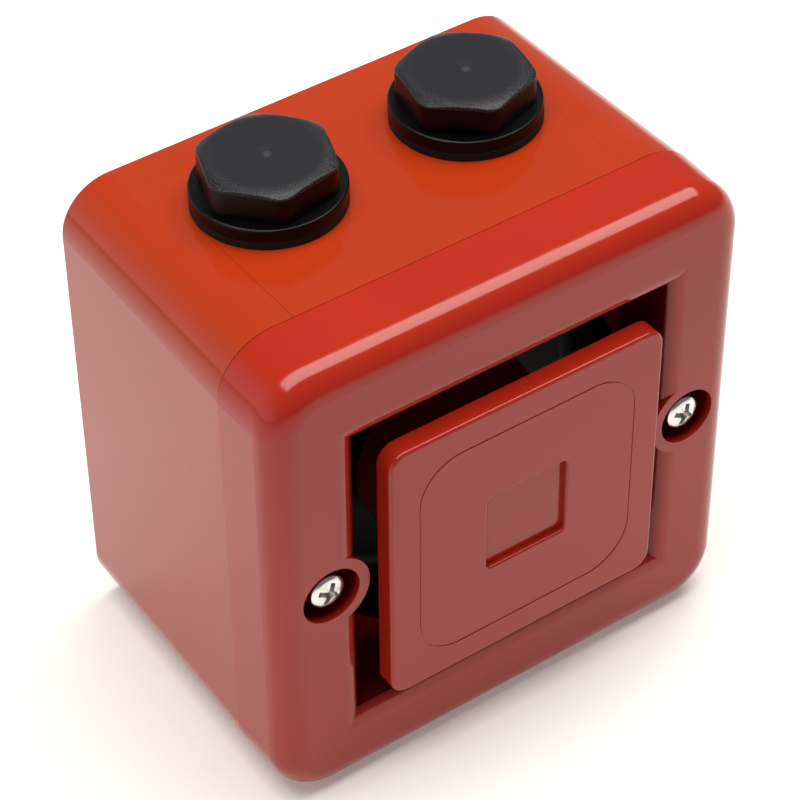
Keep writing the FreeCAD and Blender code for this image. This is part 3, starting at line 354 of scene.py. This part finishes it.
def housing_red():
    """Housing plastic with the fine witness rectangle that the mould leaves on the top."""
    surface = glossy_red("housing_gloss", RED_HOUSING)
    x, y, z = surface.axes()
    on_top = surface.math("GREATER_THAN", z, WITNESS_Z * MM)
    reach = (WITNESS_HALF_WIDTH + WITNESS_CROSSING) * MM
    across = within(surface, x, -reach, reach)
    along = within(surface, y, y_at(WITNESS_START), y_at(WITNESS_DEPTH + WITNESS_CROSSING))
    near = within(surface, y, y_at(WITNESS_START), y_at(WITNESS_SHOWN_DEPTH))
    side, half = WITNESS_HALF_WIDTH * MM, WITNESS_LINE_HALF * MM
    left = surface.times(line_mask(surface, x, -side, half), near)
    right = surface.times(line_mask(surface, x, side, half), along)
    back = surface.times(line_mask(surface, y, y_at(WITNESS_DEPTH), half), across)
    faint = surface.times(surface.math("MAXIMUM", right, back), 0.45)
    lines = surface.times(surface.math("MAXIMUM", left, faint), on_top)
    surface.color(surface.blend(surface.times(lines, 0.5), surface.base, shade(RED_HOUSING, 0.55)))
    surface.bump(lines, -0.00004, 0.8)
    return surface.material


def grained_black():
    """Spark-eroded grain, finer on the plug's face than on the crown round it, which has scuffs and painted
    glints; the top has painted light.
    """
    surface = mottled("plug_grain", BLACK_PLUG, 0.10, (0.28, 0.36), patch=260.0)
    surface.shader.inputs["Specular IOR Level"].default_value = 0.17

    # Masks: above the crown's foot, on the crown outside the flat face, on the rim and on the nub
    x, y, z = surface.axes()
    across = surface.math("SUBTRACT", surface.absolute(x), PLUG_X * MM)
    along = surface.math("SUBTRACT", y, y_at(PLUG_DEPTH))
    squares = surface.math("ADD", surface.times(across, across), surface.times(along, along))
    reach = surface.math("SQRT", squares, 0.0)
    above = surface.math("GREATER_THAN", z, PLUG_CROWN_Z * MM)
    outside = surface.spread(reach, 0.0, 1.0, PLUG_FACE_END[0] * MM, PLUG_FACE_END[1] * MM)
    crown = surface.times(outside, above)
    rim = surface.spread(reach, 0.0, 0.30, PLUG_RIM[0] * MM, PLUG_RIM[1] * MM)
    nub = surface.spread(reach, 1.0, 0.0, PLUG_NUB_END[0] * MM, PLUG_NUB_END[1] * MM)

    # Gloss: dull on the face, less so on the crown, and bright on the rim
    fine = surface.spread(surface.noise(1066.0, 4.0), 0.0, 0.08)
    duller = surface.math("SUBTRACT", surface.times(above, 0.27), surface.times(crown, 0.08))
    duller = surface.math("SUBTRACT", duller, surface.times(rim, above))
    surface.rough(surface.math("ADD", duller, surface.math("ADD", fine, 0.30)))

    # Painted light: the top is painted lighter than the sides, as if lit from above
    surface.color(surface.blend(above, surface.base, BLACK_TOP_PAINTED_LIGHT))
    # Painted highlight: the nub is painted paler, as if it caught the light
    surface.color(surface.blend(surface.times(nub, above), surface.base, BLACK_NUB_PAINTED_HIGHLIGHT))
    strength = surface.math("ADD", surface.times(crown, 0.75), 0.25)
    surface.bump(surface.times(surface.noise(5200.0, 4.0, 0.6), strength), 0.00005, 0.8)
    surface.bump(surface.noise(420.0, 2.0), 0.00002, 0.3)

    # Scuffs and painted glints: pale specks on the crown, most of them at the front
    speck = surface.spread(surface.noise(5000.0, 4.0, 0.7), 0.0, 1.0, 0.52, 0.66)
    front_share = surface.spread(along, 0.15, 1.0, 6.0 * MM, -8.0 * MM)
    scuff_and_glint = surface.times(surface.times(crown, speck), front_share)
    surface.color(surface.blend(surface.times(scuff_and_glint, 0.5), surface.base, GREY_SCUFF_AND_GLINT))
    return surface.material


def smooth_black():
    """Dull black moulding of the horn, with a faint skin."""
    surface = mottled("horn_plastic", BLACK_HORN, 0.12, (0.34, 0.46), patch=120.0)
    surface.shader.inputs["Specular IOR Level"].default_value = 0.22
    surface.bump(surface.noise(1800.0, 3.0), 0.000005, 0.5)
    return surface.material


def metal(name, color, roughness, brush=(1.0, 1.0, 1.0), scale=900.0, strength=0.6):
    """Plated or turned metal; brush stretches its fine marks along the axes."""
    surface = mottled(name, color, 0.06, roughness, patch=300.0, metallic=1.0)
    surface.bump(surface.noise(scale, 3.0, 0.5, brush), 0.000006, strength)
    return surface.material


def plain_plastic(name, color, roughness=(0.38, 0.5), grain=2400.0):
    surface = mottled(name, color, 0.06, roughness, patch=220.0)
    surface.bump(surface.noise(grain, 3.0), 0.000008, 0.5)
    return surface.material


def rubber(name, color):
    surface = mottled(name, color, 0.15, (0.6, 0.75), patch=400.0)
    surface.shader.inputs["Specular IOR Level"].default_value = 0.25
    surface.bump(surface.noise(3000.0, 4.0, 0.6), 0.00001, 0.7)
    return surface.material


def laminate():
    """Solder resist over glass cloth: a faint weave under a green gloss."""
    surface = mottled("board_resist", (0.010, 0.085, 0.028), 0.10, (0.25, 0.36), patch=130.0)
    for turn in ("X", "Z"):
        wave = surface.node("ShaderNodeTexWave", bands_direction=turn)
        wave.inputs["Scale"].default_value = 900.0
        wave.inputs["Distortion"].default_value = 0.6
        surface.join(surface.place, wave, "Vector")
        surface.bump(wave.outputs["Fac"], 0.000006, 0.35)
    return surface.material


def wound_copper():
    surface = mottled("coil_varnish", (0.55, 0.20, 0.08), 0.12, (0.25, 0.38), patch=300.0, metallic=1.0)
    surface.bump(surface.noise(1200.0, 2.0), 0.000006, 0.4)
    return surface.material


red_cover = cover_red()
red_plate = plate_red()
red_housing = housing_red()
black_plug = grained_black()
black_horn = smooth_black()
seal_rubber = rubber("seal_rubber", (0.004, 0.004, 0.0045))
bright_steel = metal("screw_steel", (0.72, 0.71, 0.69), (0.16, 0.28), (1.0, 0.3, 1.0))
zinc = metal("zinc_plate", (0.60, 0.61, 0.62), (0.24, 0.36))
brass = metal("turned_brass", (0.62, 0.42, 0.14), (0.22, 0.30), (0.02, 4.0, 0.02),
              scale=1100.0, strength=0.07)
tinned = metal("tinned_brass", (0.66, 0.60, 0.46), (0.26, 0.4))
pot_steel = metal("pot_steel", (0.50, 0.50, 0.52), (0.26, 0.38), (1.0, 0.2, 1.0))
black_driver = plain_plastic("driver_plastic", (0.022, 0.022, 0.024))
film = plain_plastic("diaphragm_film", (0.36, 0.20, 0.05), (0.2, 0.3), 900.0)
copper = wound_copper()
lead_black = rubber("lead_black", (0.012, 0.012, 0.013))
lead_red = rubber("lead_red", (0.35, 0.012, 0.010))
resist = laminate()
terminal_green = plain_plastic("terminal_green", (0.020, 0.16, 0.045))
switch_blue = plain_plastic("switch_blue", (0.010, 0.045, 0.24), (0.28, 0.38))
slider_white = plain_plastic("slider_white", (0.72, 0.71, 0.67), (0.3, 0.42))
chip_resin = plain_plastic("chip_resin", (0.018, 0.018, 0.019), (0.5, 0.65), 4200.0)
ferrite = plain_plastic("ferrite_core", (0.045, 0.047, 0.050), (0.4, 0.55), 2600.0)
track_green = plain_plastic("board_track", (0.018, 0.135, 0.045), (0.22, 0.32), 1500.0)
tan_ceramic = plain_plastic("chip_ceramic", (0.30, 0.19, 0.09), (0.4, 0.5), 2600.0)
print_white = plain_plastic("board_print", (0.68, 0.68, 0.64), (0.5, 0.62), 2000.0)
can_sleeve = metal("can_aluminium", (0.62, 0.63, 0.65), (0.22, 0.34), (1.0, 4.0, 1.0))

NODE_MATERIALS = {
    "rear_housing": red_housing,
    "front_cover": red_cover,
    "horn_bowl": black_horn,
    "throat_tube": black_horn,
    "board_pillars": brass,
    "horn_plate": red_plate,
    "blanking_plug_left": black_plug,
    "blanking_plug_right": black_plug,
    "housing_gasket": seal_rubber,
    "sealing_washer_left": seal_rubber,
    "sealing_washer_right": seal_rubber,
    "screw_seal_left": seal_rubber,
    "screw_seal_right": seal_rubber,
    "throat_gasket": seal_rubber,
    "threaded_inserts": brass,
    "cover_screw_left": bright_steel,
    "cover_screw_right": bright_steel,
    "horn_screws": zinc,
    "bell_screws": zinc,
    "driver_screws": zinc,
    "board_screws": zinc,
    "terminal_screws": zinc,
    "driver_case": black_driver,
    "diaphragm": film,
    "voice_coil": copper,
    "clamp_ring": black_driver,
    "gap_plate": pot_steel,
    "pole_piece": pot_steel,
    "yoke": pot_steel,
    "magnet": pot_steel,
    "driver_tags": tinned,
    "driver_lead_left": lead_black,
    "driver_lead_right": lead_red,
    "circuit_board": resist,
    "terminal_block": terminal_green,
    "dip_switch": switch_blue,
    "volume_trimmer": switch_blue,
    "trimmer_rotor": slider_white,
    "tone_chip": chip_resin,
    "capacitor": can_sleeve,
    "inductor": ferrite,
}
for name, node in nodes.items():
    # The switch's sliders, which aren't listed, are white
    material = NODE_MATERIALS.get(name, slider_white)
    node.data.materials.clear()
    node.data.materials.append(material)


# ---- meshes


def add_piece(name, mesh, material, body):
    """Links a mesh as a piece of the object and lets it ride on its body."""
    piece = bpy.data.objects.new(name, mesh)
    bpy.context.scene.collection.objects.link(piece)
    mesh.materials.clear()
    mesh.materials.append(material)
    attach(piece, body)
    return piece


def mesh_from(name, points, faces):
    """Mesh from points in millimetres."""
    mesh = bpy.data.meshes.new(name)
    mesh.from_pydata([Vector(p) * MM for p in points], [], faces)
    mesh.validate()
    mesh.update()
    return mesh


def lathe(rings, segments, radius_at):
    """Closed surface about the Y axis; rings are depths, radius_at gives each radius."""
    points, faces = [], []
    for ring in rings:
        for step in range(segments):
            turn = 2 * math.pi * step / segments
            radius = radius_at(ring, turn)
            points.append((radius * math.cos(turn), ring["depth"] - BODY_DEPTH, radius * math.sin(turn)))
    for row in range(len(rings) - 1):
        for step in range(segments):
            after = (step + 1) % segments
            faces.append((row * segments + step, row * segments + after,
                          (row + 1) * segments + after, (row + 1) * segments + step))
    faces.append(tuple(reversed(range(segments))))
    last = (len(rings) - 1) * segments
    faces.append(tuple(last + step for step in range(segments)))
    return points, faces


def screw_rings():
    """Rings of a pan head screw: dome, rim, underside, plain shank and thread."""
    rings = []
    dome_steps, dome_drop = 10, 0.62
    rim_steps, rim_start, rim_round = 5, 0.1, 0.42
    edge, run_out, point_step, samples = 0.12, 1.2, 0.45, 6
    for step in range(1, dome_steps + 1):
        share = step / dome_steps
        rings.append({"depth": SCREW_CROWN + dome_drop * share ** 2,
                      "radius": (SCREW_HEAD_RADIUS - rim_round) * share})
    for step in range(1, rim_steps + 1):
        turn = math.radians(90.0 * step / rim_steps)
        rings.append({"depth": SCREW_CROWN + dome_drop + rim_start + rim_round * (1 - math.cos(turn)),
                      "radius": SCREW_HEAD_RADIUS - rim_round * (1 - math.sin(turn))})
    rings.append({"depth": SCREW_HEAD_END - edge, "radius": SCREW_HEAD_RADIUS})
    rings.append({"depth": SCREW_HEAD_END, "radius": SCREW_HEAD_RADIUS - edge})
    rings.append({"depth": SCREW_HEAD_END, "radius": SCREW_RADIUS})
    rings.append({"depth": SCREW_THREAD_START, "radius": SCREW_RADIUS})
    count = int((SCREW_TIP - run_out - SCREW_THREAD_START) / SCREW_PITCH * samples)
    for step in range(1, count + 1):
        depth = SCREW_THREAD_START + step * SCREW_PITCH / samples
        fade = min(1.0, step / (2.0 * samples))
        rings.append({"depth": depth, "radius": SCREW_RADIUS, "thread": fade})
    rings.append({"depth": SCREW_TIP, "radius": SCREW_CORE_RADIUS - point_step})
    return rings


def screw_radius_at(ring, turn):
    """Radius of a ring at a turn; the thread's flanks climb by one pitch in each turn."""
    if "thread" not in ring:
        return ring["radius"]
    crest_share, flank_share = 0.12, 0.72
    phase = (ring["depth"] / SCREW_PITCH - turn / (2 * math.pi)) % 1.0
    flank = min(1.0, max(0.0, (abs(phase - 0.5) * 2.0 - crest_share) / flank_share))
    return ring["radius"] - (SCREW_RADIUS - SCREW_CORE_RADIUS) * flank * ring["thread"]


def wedge_mesh(name, turn_deg, sizes, bottom):
    """Bar across the screw's middle that tapers down to a depth."""
    half_length, half_width, low_half_length, low_half_width = sizes
    made = bmesh.new()
    spin = Matrix.Rotation(math.radians(turn_deg), 3, "Y")
    corners = []
    for depth, length, width in ((RECESS_TOP, half_length, half_width),
                                 (bottom, low_half_length, low_half_width)):
        for x, z in ((-length, -width), (length, -width), (length, width), (-length, width)):
            corners.append(made.verts.new(spin @ Vector((x, depth - BODY_DEPTH, z)) * MM))
    made.faces.new(corners[3::-1])
    made.faces.new(corners[4:])
    for step in range(4):
        after = (step + 1) % 4
        made.faces.new((corners[step], corners[after], corners[4 + after], corners[4 + step]))
    bmesh.ops.recalc_face_normals(made, faces=made.faces)
    mesh = bpy.data.meshes.new(name)
    made.to_mesh(mesh)
    made.free()
    return mesh


def recess_cutters():
    """Cross recess: two crossed wings, a blunt point in the middle, and fine ticks between the wings."""
    wings = [wedge_mesh("recess_wing", turn, RECESS_WING, RECESS_FLOOR) for turn in (0.0, 90.0)]
    ticks = [wedge_mesh("recess_tick", turn, RECESS_TICK, RECESS_TICK_FLOOR) for turn in (45.0, 135.0)]
    point_end = RECESS_FLOOR + RECESS_POINT_LENGTH
    cone = bmesh.new()
    bmesh.ops.create_cone(cone, cap_ends=True, segments=24, radius1=RECESS_POINT_RADII[0] * MM,
                          radius2=RECESS_POINT_RADII[1] * MM, depth=(point_end - RECESS_TOP) * MM)
    turned = Matrix.Rotation(math.radians(-90.0), 4, "X")
    bmesh.ops.transform(cone, matrix=turned, verts=cone.verts)
    middle = Matrix.Translation((0.0, y_at((RECESS_TOP + point_end) / 2), 0.0))
    bmesh.ops.transform(cone, matrix=middle, verts=cone.verts)
    point = bpy.data.meshes.new("recess_point")
    cone.to_mesh(point)
    cone.free()
    return wings + [point] + ticks


def cut_mesh(mesh, cutters, name):
    """The mesh with each cutter taken out of it in turn."""
    body = bpy.data.objects.new("cut_body", mesh)
    bpy.context.scene.collection.objects.link(body)
    tools = []
    for cutter in cutters:
        tool = bpy.data.objects.new("cut_tool", cutter)
        bpy.context.scene.collection.objects.link(tool)
        modifier = body.modifiers.new("cut", "BOOLEAN")
        modifier.operation = "DIFFERENCE"
        modifier.solver = "MANIFOLD"
        modifier.object = tool
        tools.append(tool)
    graph = bpy.context.evaluated_depsgraph_get()
    result = bpy.data.meshes.new_from_object(body.evaluated_get(graph))
    result.name = name
    for tool in tools + [body]:
        bpy.data.objects.remove(tool)
    return result


def crease_by_angle(mesh, degrees):
    """Keeps edges sharper than an angle crisp under smooth shading."""
    mesh.shade_smooth()
    mesh.set_sharp_from_angle(angle=math.radians(degrees))


def cover_screw(side, x, spin_deg):
    """Bright pan head screw with its recess and thread, in place of the plain one."""
    points, faces = lathe(screw_rings(), 48, screw_radius_at)
    mesh = mesh_from("screw_%s" % side, points, faces)
    cut = cut_mesh(mesh, recess_cutters(), "cover_screw_%s_cut" % side)
    cut.transform(Matrix.Translation((x * MM, 0.0, 0.0)) @ Matrix.Rotation(math.radians(spin_deg), 4, "Y"))
    crease_by_angle(cut, 32.0)
    piece = add_piece("cover_screw_%s_threaded" % side, cut, bright_steel, "screw_%s" % side)
    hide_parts("cover_screw_%s" % side)


class Shape:
    """Closed forms gathered into one mesh, in millimetres."""

    def __init__(self):
        self.points, self.faces = [], []

    def grid(self, rows, closed_rows=False):
        """Skin over rows of points; each row is a closed loop."""
        start, width = len(self.points), len(rows[0])
        for row in rows:
            self.points.extend(tuple(point) for point in row)
        spans = len(rows) if closed_rows else len(rows) - 1
        for row in range(spans):
            here, there = start + row * width, start + (row + 1) % len(rows) * width
            for step in range(width):
                after = (step + 1) % width
                self.faces.append((here + step, here + after, there + after, there + step))
        if not closed_rows:
            last = start + (len(rows) - 1) * width
            self.faces.append(tuple(start + step for step in reversed(range(width))))
            self.faces.append(tuple(last + step for step in range(width)))

    def block(self, x, z, half_x, half_z, low, high, bevel=0.0):
        """Box standing on the board between two heights, with bevelled top edges."""
        rows = []
        for height, inset in ((low, 0.0), (high - bevel, 0.0), (high, bevel)):
            across, along, y = half_x - inset, half_z - inset, BOARD_FACE + height - BODY_DEPTH
            rows.append([(x - across, y, z - along), (x + across, y, z - along),
                         (x + across, y, z + along), (x - across, y, z + along)])
        self.grid(rows)

    def dome(self, x, z, radius, height):
        """Solder dome that stands on the board."""
        rows = []
        for share in (0.0, 0.25, 0.5, 0.7, 0.85, 0.95):
            here = radius * math.sqrt(1.0 - share ** 2)
            y = BOARD_FACE + height * share - BODY_DEPTH
            rows.append([(x + here * math.cos(turn), y, z + here * math.sin(turn))
                         for turn in (math.pi * step / 8 for step in range(16))])
        self.grid(rows)

    def ribbon(self, places, width, height, closed=False):
        """Raised line along places (x, z) on the board, mitred at its bends."""
        count = len(places)
        rows = []
        for index, (x, z) in enumerate(places):
            here = Vector((x, z))
            before = Vector(places[index - 1]) if closed or index > 0 else None
            after = Vector(places[(index + 1) % count]) if closed or index < count - 1 else None
            into = (here - before).normalized() if before is not None else (after - here).normalized()
            out = (after - here).normalized() if after is not None else into
            side = Vector((-(into + out).y, (into + out).x)).normalized()
            reach = width / 2 / max(0.5, side.dot(Vector((-into.y, into.x))))
            left, right = here + side * reach, here - side * reach
            low, high = BOARD_FACE - 0.02 - BODY_DEPTH, BOARD_FACE + height - BODY_DEPTH
            rows.append([(left.x, low, left.y), (left.x, high, left.y),
                         (right.x, high, right.y), (right.x, low, right.y)])
        self.grid(rows, closed)

    def wire(self, path, radius, sides=8):
        """Closed loop of round wire along a closed path in one plane."""
        count = len(path)
        middle = sum((Vector(point) for point in path), Vector()) / count
        plane = (Vector(path[0]) - middle).cross(Vector(path[count // 4]) - middle).normalized()
        rows = []
        for index in range(count):
            here = Vector(path[index])
            along = (Vector(path[(index + 1) % count]) - Vector(path[index - 1])).normalized()
            out = along.cross(plane)
            rows.append([here + (out * math.cos(turn) + plane * math.sin(turn)) * radius
                         for turn in (2 * math.pi * step / sides for step in range(sides))])
        self.grid(rows, True)

    def piece(self, name, material, body, slot, crease_deg=35.0):
        """Turns what was gathered into a piece of the object."""
        mesh = mesh_from(name, self.points, self.faces)
        made = bmesh.new()
        made.from_mesh(mesh)
        bmesh.ops.recalc_face_normals(made, faces=made.faces)
        made.to_mesh(mesh)
        made.free()
        crease_by_angle(mesh, crease_deg)
        return add_piece(name, mesh, material, body)


def chip_parts():
    """Small chip resistors and capacitors in two rows; gives their metal ends and solder."""
    places = [(x, UPPER_ROW_Z) for x in TERMINAL_X] + [(x, LOWER_ROW_Z) for x in LOWER_ROW_X]
    resistors, capacitors, ends = Shape(), Shape(), Shape()
    for index, (x, z) in enumerate(places):
        if index % 3:
            half_x, half_z, height = RESISTOR
            resistors.block(x, z, half_x, half_z - 0.45, CHIP_FOOT, height, 0.06)
        else:
            half_x, half_z, height = CHIP_CAPACITOR
            capacitors.block(x, z, half_x, half_z - 0.4, CHIP_FOOT, height, 0.08)
        for side in (-1, 1):
            ends.block(x, z + side * (half_z - 0.22), half_x + 0.02, 0.24, 0.03, height + 0.03, 0.08)
            ends.dome(x, z + side * (half_z + 0.15), half_x * 0.8, 0.28)
    resistors.piece("board_resistors", chip_resin, "front", "chip_black")
    capacitors.piece("board_chip_capacitors", tan_ceramic, "front", "chip_black")
    return ends


def solder(joints):
    """Adds the solder of the driver's leads and of the tone chip's legs, and makes the piece."""
    for x, z in LEAD_PLACES:
        joints.dome(x, z, 1.25, 0.9)
    for pin in range(-3, 4):
        for side in (-1, 1):
            joints.dome(CHIP_PLACE[0] + pin * CHIP_PIN_PITCH,
                        CHIP_PLACE[1] + side * (CHIP_HALF[1] + 0.35), 0.55, 0.35)
    joints.piece("board_solder", zinc, "front", "fixing_zinc")


def board_tracks():
    """Raised tracks under the solder resist, from the terminals down to the chip and the leads."""
    tracks = Shape()

    def track(places, width):
        tracks.ribbon(places, width, TRACK_HEIGHT)

    switch_top, switch_low = SWITCH_Z + SWITCH_HALF[1], SWITCH_Z - SWITCH_HALF[1]
    chip_top, chip_low = CHIP_PLACE[1] + CHIP_HALF[1], CHIP_PLACE[1] - CHIP_HALF[1]
    upper_end, lower_end = UPPER_ROW_Z - ROW_REACH, LOWER_ROW_Z - ROW_REACH
    for x in TERMINAL_X:
        track([(x, TERMINAL_LOW_Z), (x, UPPER_ROW_Z + ROW_REACH)], SUPPLY_TRACK)
    for index, x in enumerate(TERMINAL_X[:3]):
        end = SWITCH_X[index + 1]
        jog = UPPER_ROW_Z - 2.6 - 0.5 * index
        track([(x, upper_end), (x, jog), (end, jog - abs(end - x) * 0.1), (end, switch_top)], SIGNAL_TRACK)
    for index, x in enumerate(TERMINAL_X[3:]):
        if index == 2:
            route = [(x, upper_end), (x, TRIMMER_PLACE[1] + TRIMMER_HALF)]
        else:
            end = CHIP_PLACE[0] + (index - 1) * CHIP_PIN_PITCH
            bend = 2.0 - index
            route = [(x, upper_end), (x, bend), (end, bend - abs(end - x)), (end, chip_top + PIN_REACH)]
        track(route, SIGNAL_TRACK)
    for index, x in enumerate(SWITCH_X):
        end = CHIP_PLACE[0] + (index - 3) * CHIP_PIN_PITCH
        bend = switch_low - 1.2 - 0.9 * (4 - index)
        low = min(bend - 0.3, chip_top + 1.0 + 0.6 * (4 - index))
        track([(x, switch_low), (x, bend), (end, low), (end, chip_top + PIN_REACH)], SWITCH_TRACK)
    for index, x in enumerate(LOWER_ROW_X):
        pin = CHIP_PLACE[0] + (index - 2) * CHIP_PIN_PITCH
        track([(pin, chip_low - PIN_REACH), (pin, chip_low - 2.0),
               (x, LOWER_ROW_Z + 3.4), (x, LOWER_ROW_Z + 1.5)], PIN_TRACK)
    for lead, x in ((LEAD_PLACES[0], LOWER_ROW_X[1]), (LEAD_PLACES[1], LOWER_ROW_X[3])):
        track([(x, lower_end), (x, LEAD_BEND_Z), lead], LEAD_TRACK)
    for (x, z), foot, end in ((CHOKE_PLACE, 7.0, LOWER_ROW_X[0]), (CAPACITOR_PLACE, 4.2, LOWER_ROW_X[4])):
        track([(x, z - foot), (x, POWER_LINE_Z), (end, POWER_LINE_Z), (end, lower_end)], POWER_TRACK)
    tracks.piece("board_tracks", track_green, "front", "board_green")


def board_print():
    """Printed outlines round the larger parts."""
    marks = Shape()

    def outline(places):
        marks.ribbon(places, PRINT_WIDTH, PRINT_HEIGHT, True)

    def frame_mark(x, z, half_x, half_z):
        outline([(x - half_x, z - half_z), (x + half_x, z - half_z),
                 (x + half_x, z + half_z), (x - half_x, z + half_z)])

    def circle_mark(x, z, radius):
        outline([(x + radius * math.cos(turn), z + radius * math.sin(turn))
                 for turn in (math.pi * step / 24 for step in range(48))])

    frame_mark(SWITCH_X[2], SWITCH_Z, SWITCH_HALF[0] + 0.5, SWITCH_HALF[1] + 0.5)
    frame_mark(*TRIMMER_PLACE, TRIMMER_HALF + 0.5, TRIMMER_HALF + 0.5)
    frame_mark(*CHIP_PLACE, CHIP_HALF[0] + 0.7, CHIP_HALF[1] + 1.3)
    circle_mark(*CAPACITOR_PLACE, CAPACITOR_RADIUS + 0.6)
    circle_mark(*CHOKE_PLACE, CHOKE_RADII[1] + 1.1)
    marks.piece("board_outlines", print_white, "front", "rotor_white")


def choke_winding():
    """Turns of enamelled wire round the ring core."""
    wires = Shape()
    wire_radius, gap, lift, corner = 0.27, 0.28, 0.3, 1.0
    first_deg, wound_deg = -70.0, 320.0
    inner, outer = CHOKE_RADII[0] - gap, CHOKE_RADII[1] + gap
    low, high = lift - gap, CHOKE_HEIGHT + gap
    outline = []
    for u, v, first in ((outer - corner, high - corner, 0.0), (inner + corner, high - corner, 90.0),
                        (inner + corner, low + corner, 180.0), (outer - corner, low + corner, 270.0)):
        for step in range(5):
            turn = math.radians(first + 22.5 * step)
            outline.append((u + corner * math.cos(turn), v + corner * math.sin(turn)))
    for index in range(CHOKE_TURNS):
        turn = math.radians(first_deg + wound_deg * index / (CHOKE_TURNS - 1))
        path = [(CHOKE_PLACE[0] + u * math.cos(turn), BOARD_FACE + v - BODY_DEPTH,
                 CHOKE_PLACE[1] + u * math.sin(turn)) for u, v in outline]
        wires.wire(path, wire_radius)
    wires.piece("inductor_winding", copper, "front", "coil_copper", 80.0)


cover_screw("left", -SCREW_X, spin_deg=24.0)
cover_screw("right", SCREW_X, spin_deg=20.0)
solder(chip_parts())
board_tracks()
board_print()
choke_winding()

# ---- camera, floor and light


def set_camera():
    data = bpy.data.cameras.new("camera")
    data.sensor_width = SENSOR_WIDTH
    data.lens = FOCAL_PIXELS / PICTURE_WIDTH * SENSOR_WIDTH
    data.clip_start, data.clip_end = 0.02, 50.0
    camera = bpy.data.objects.new("camera", data)
    bpy.context.scene.collection.objects.link(camera)
    columns = (CAMERA_RIGHT, CAMERA_UP, tuple(-part for part in CAMERA_FORWARD), CAMERA_PLACE)
    rows = [[column[row] for column in columns] for row in range(3)]
    camera.matrix_world = Matrix(rows + [[0.0, 0.0, 0.0, 1.0]])
    bpy.context.scene.camera = camera


def add_floor():
    mesh = bpy.data.meshes.new("floor")
    corners = [(x * FLOOR_HALF, y * FLOOR_HALF, FLOOR_Z) for x, y in ((-1, -1), (1, -1), (1, 1), (-1, 1))]
    mesh.from_pydata(corners, [], [(0, 1, 2, 3)])
    floor = bpy.data.objects.new("floor", mesh)
    bpy.context.scene.collection.objects.link(floor)
    surface = Surface("floor_white", 0.8)
    surface.shader.inputs["Base Color"].default_value = (*FLOOR_WHITE, 1.0)
    surface.shader.inputs["Emission Color"].default_value = (*FLOOR_GLOW, 1.0)
    surface.shader.inputs["Emission Strength"].default_value = FLOOR_GLOW_STRENGTH
    mesh.materials.append(surface.material)


def add_area(name, place, target, size, power):
    data = bpy.data.lights.new(name, "AREA")
    data.shape = "RECTANGLE"
    data.size, data.size_y = size
    data.energy = power
    data.color = LIGHT_COLOR
    light = bpy.data.objects.new(name, data)
    bpy.context.scene.collection.objects.link(light)
    light.location = place
    light.rotation_mode = "QUATERNION"
    light.rotation_quaternion = (Vector(target) - Vector(place)).to_track_quat("-Z", "Y")


def set_world():
    """A dim room with a white backdrop behind and to the left, brightest at its foot."""
    world = bpy.data.worlds.new("studio")
    world.use_nodes = True
    tree = world.node_tree
    direction = tree.nodes.new("ShaderNodeTexCoord").outputs["Generated"]
    split = tree.nodes.new("ShaderNodeSeparateXYZ")
    tree.links.new(direction, split.inputs["Vector"])
    facing = tree.nodes.new("ShaderNodeVectorMath")
    facing.operation = "DOT_PRODUCT"
    tree.links.new(direction, facing.inputs[0])
    facing.inputs[1].default_value = BACKDROP_TOWARD
    shares = []
    for value, limits in ((split.outputs["Z"], BACKDROP_HEIGHT), (facing.outputs["Value"], BACKDROP_FACING)):
        mapped = tree.nodes.new("ShaderNodeMapRange")
        tree.links.new(value, mapped.inputs["Value"])
        mapped.inputs["From Min"].default_value, mapped.inputs["From Max"].default_value = limits
        shares.append(mapped.outputs["Result"])
    product = tree.nodes.new("ShaderNodeMath")
    product.operation = "MULTIPLY"
    for index, share in enumerate(shares):
        tree.links.new(share, product.inputs[index])
    total = tree.nodes.new("ShaderNodeMath")
    total.operation = "MULTIPLY_ADD"
    tree.links.new(product.outputs["Value"], total.inputs[0])
    total.inputs[1].default_value = BACKDROP_STRENGTH
    total.inputs[2].default_value = ROOM_STRENGTH
    background = tree.nodes["Background"]
    background.inputs["Color"].default_value = (1.0, 1.0, 1.0, 1.0)
    tree.links.new(total.outputs["Value"], background.inputs["Strength"])
    bpy.context.scene.world = world


set_camera()
add_floor()
add_area("overhead", LIGHT_PLACE, LIGHT_TARGET, LIGHT_SIZE, LIGHT_WATTS)
set_world()
bpy.context.scene.view_settings.view_transform = "Standard"
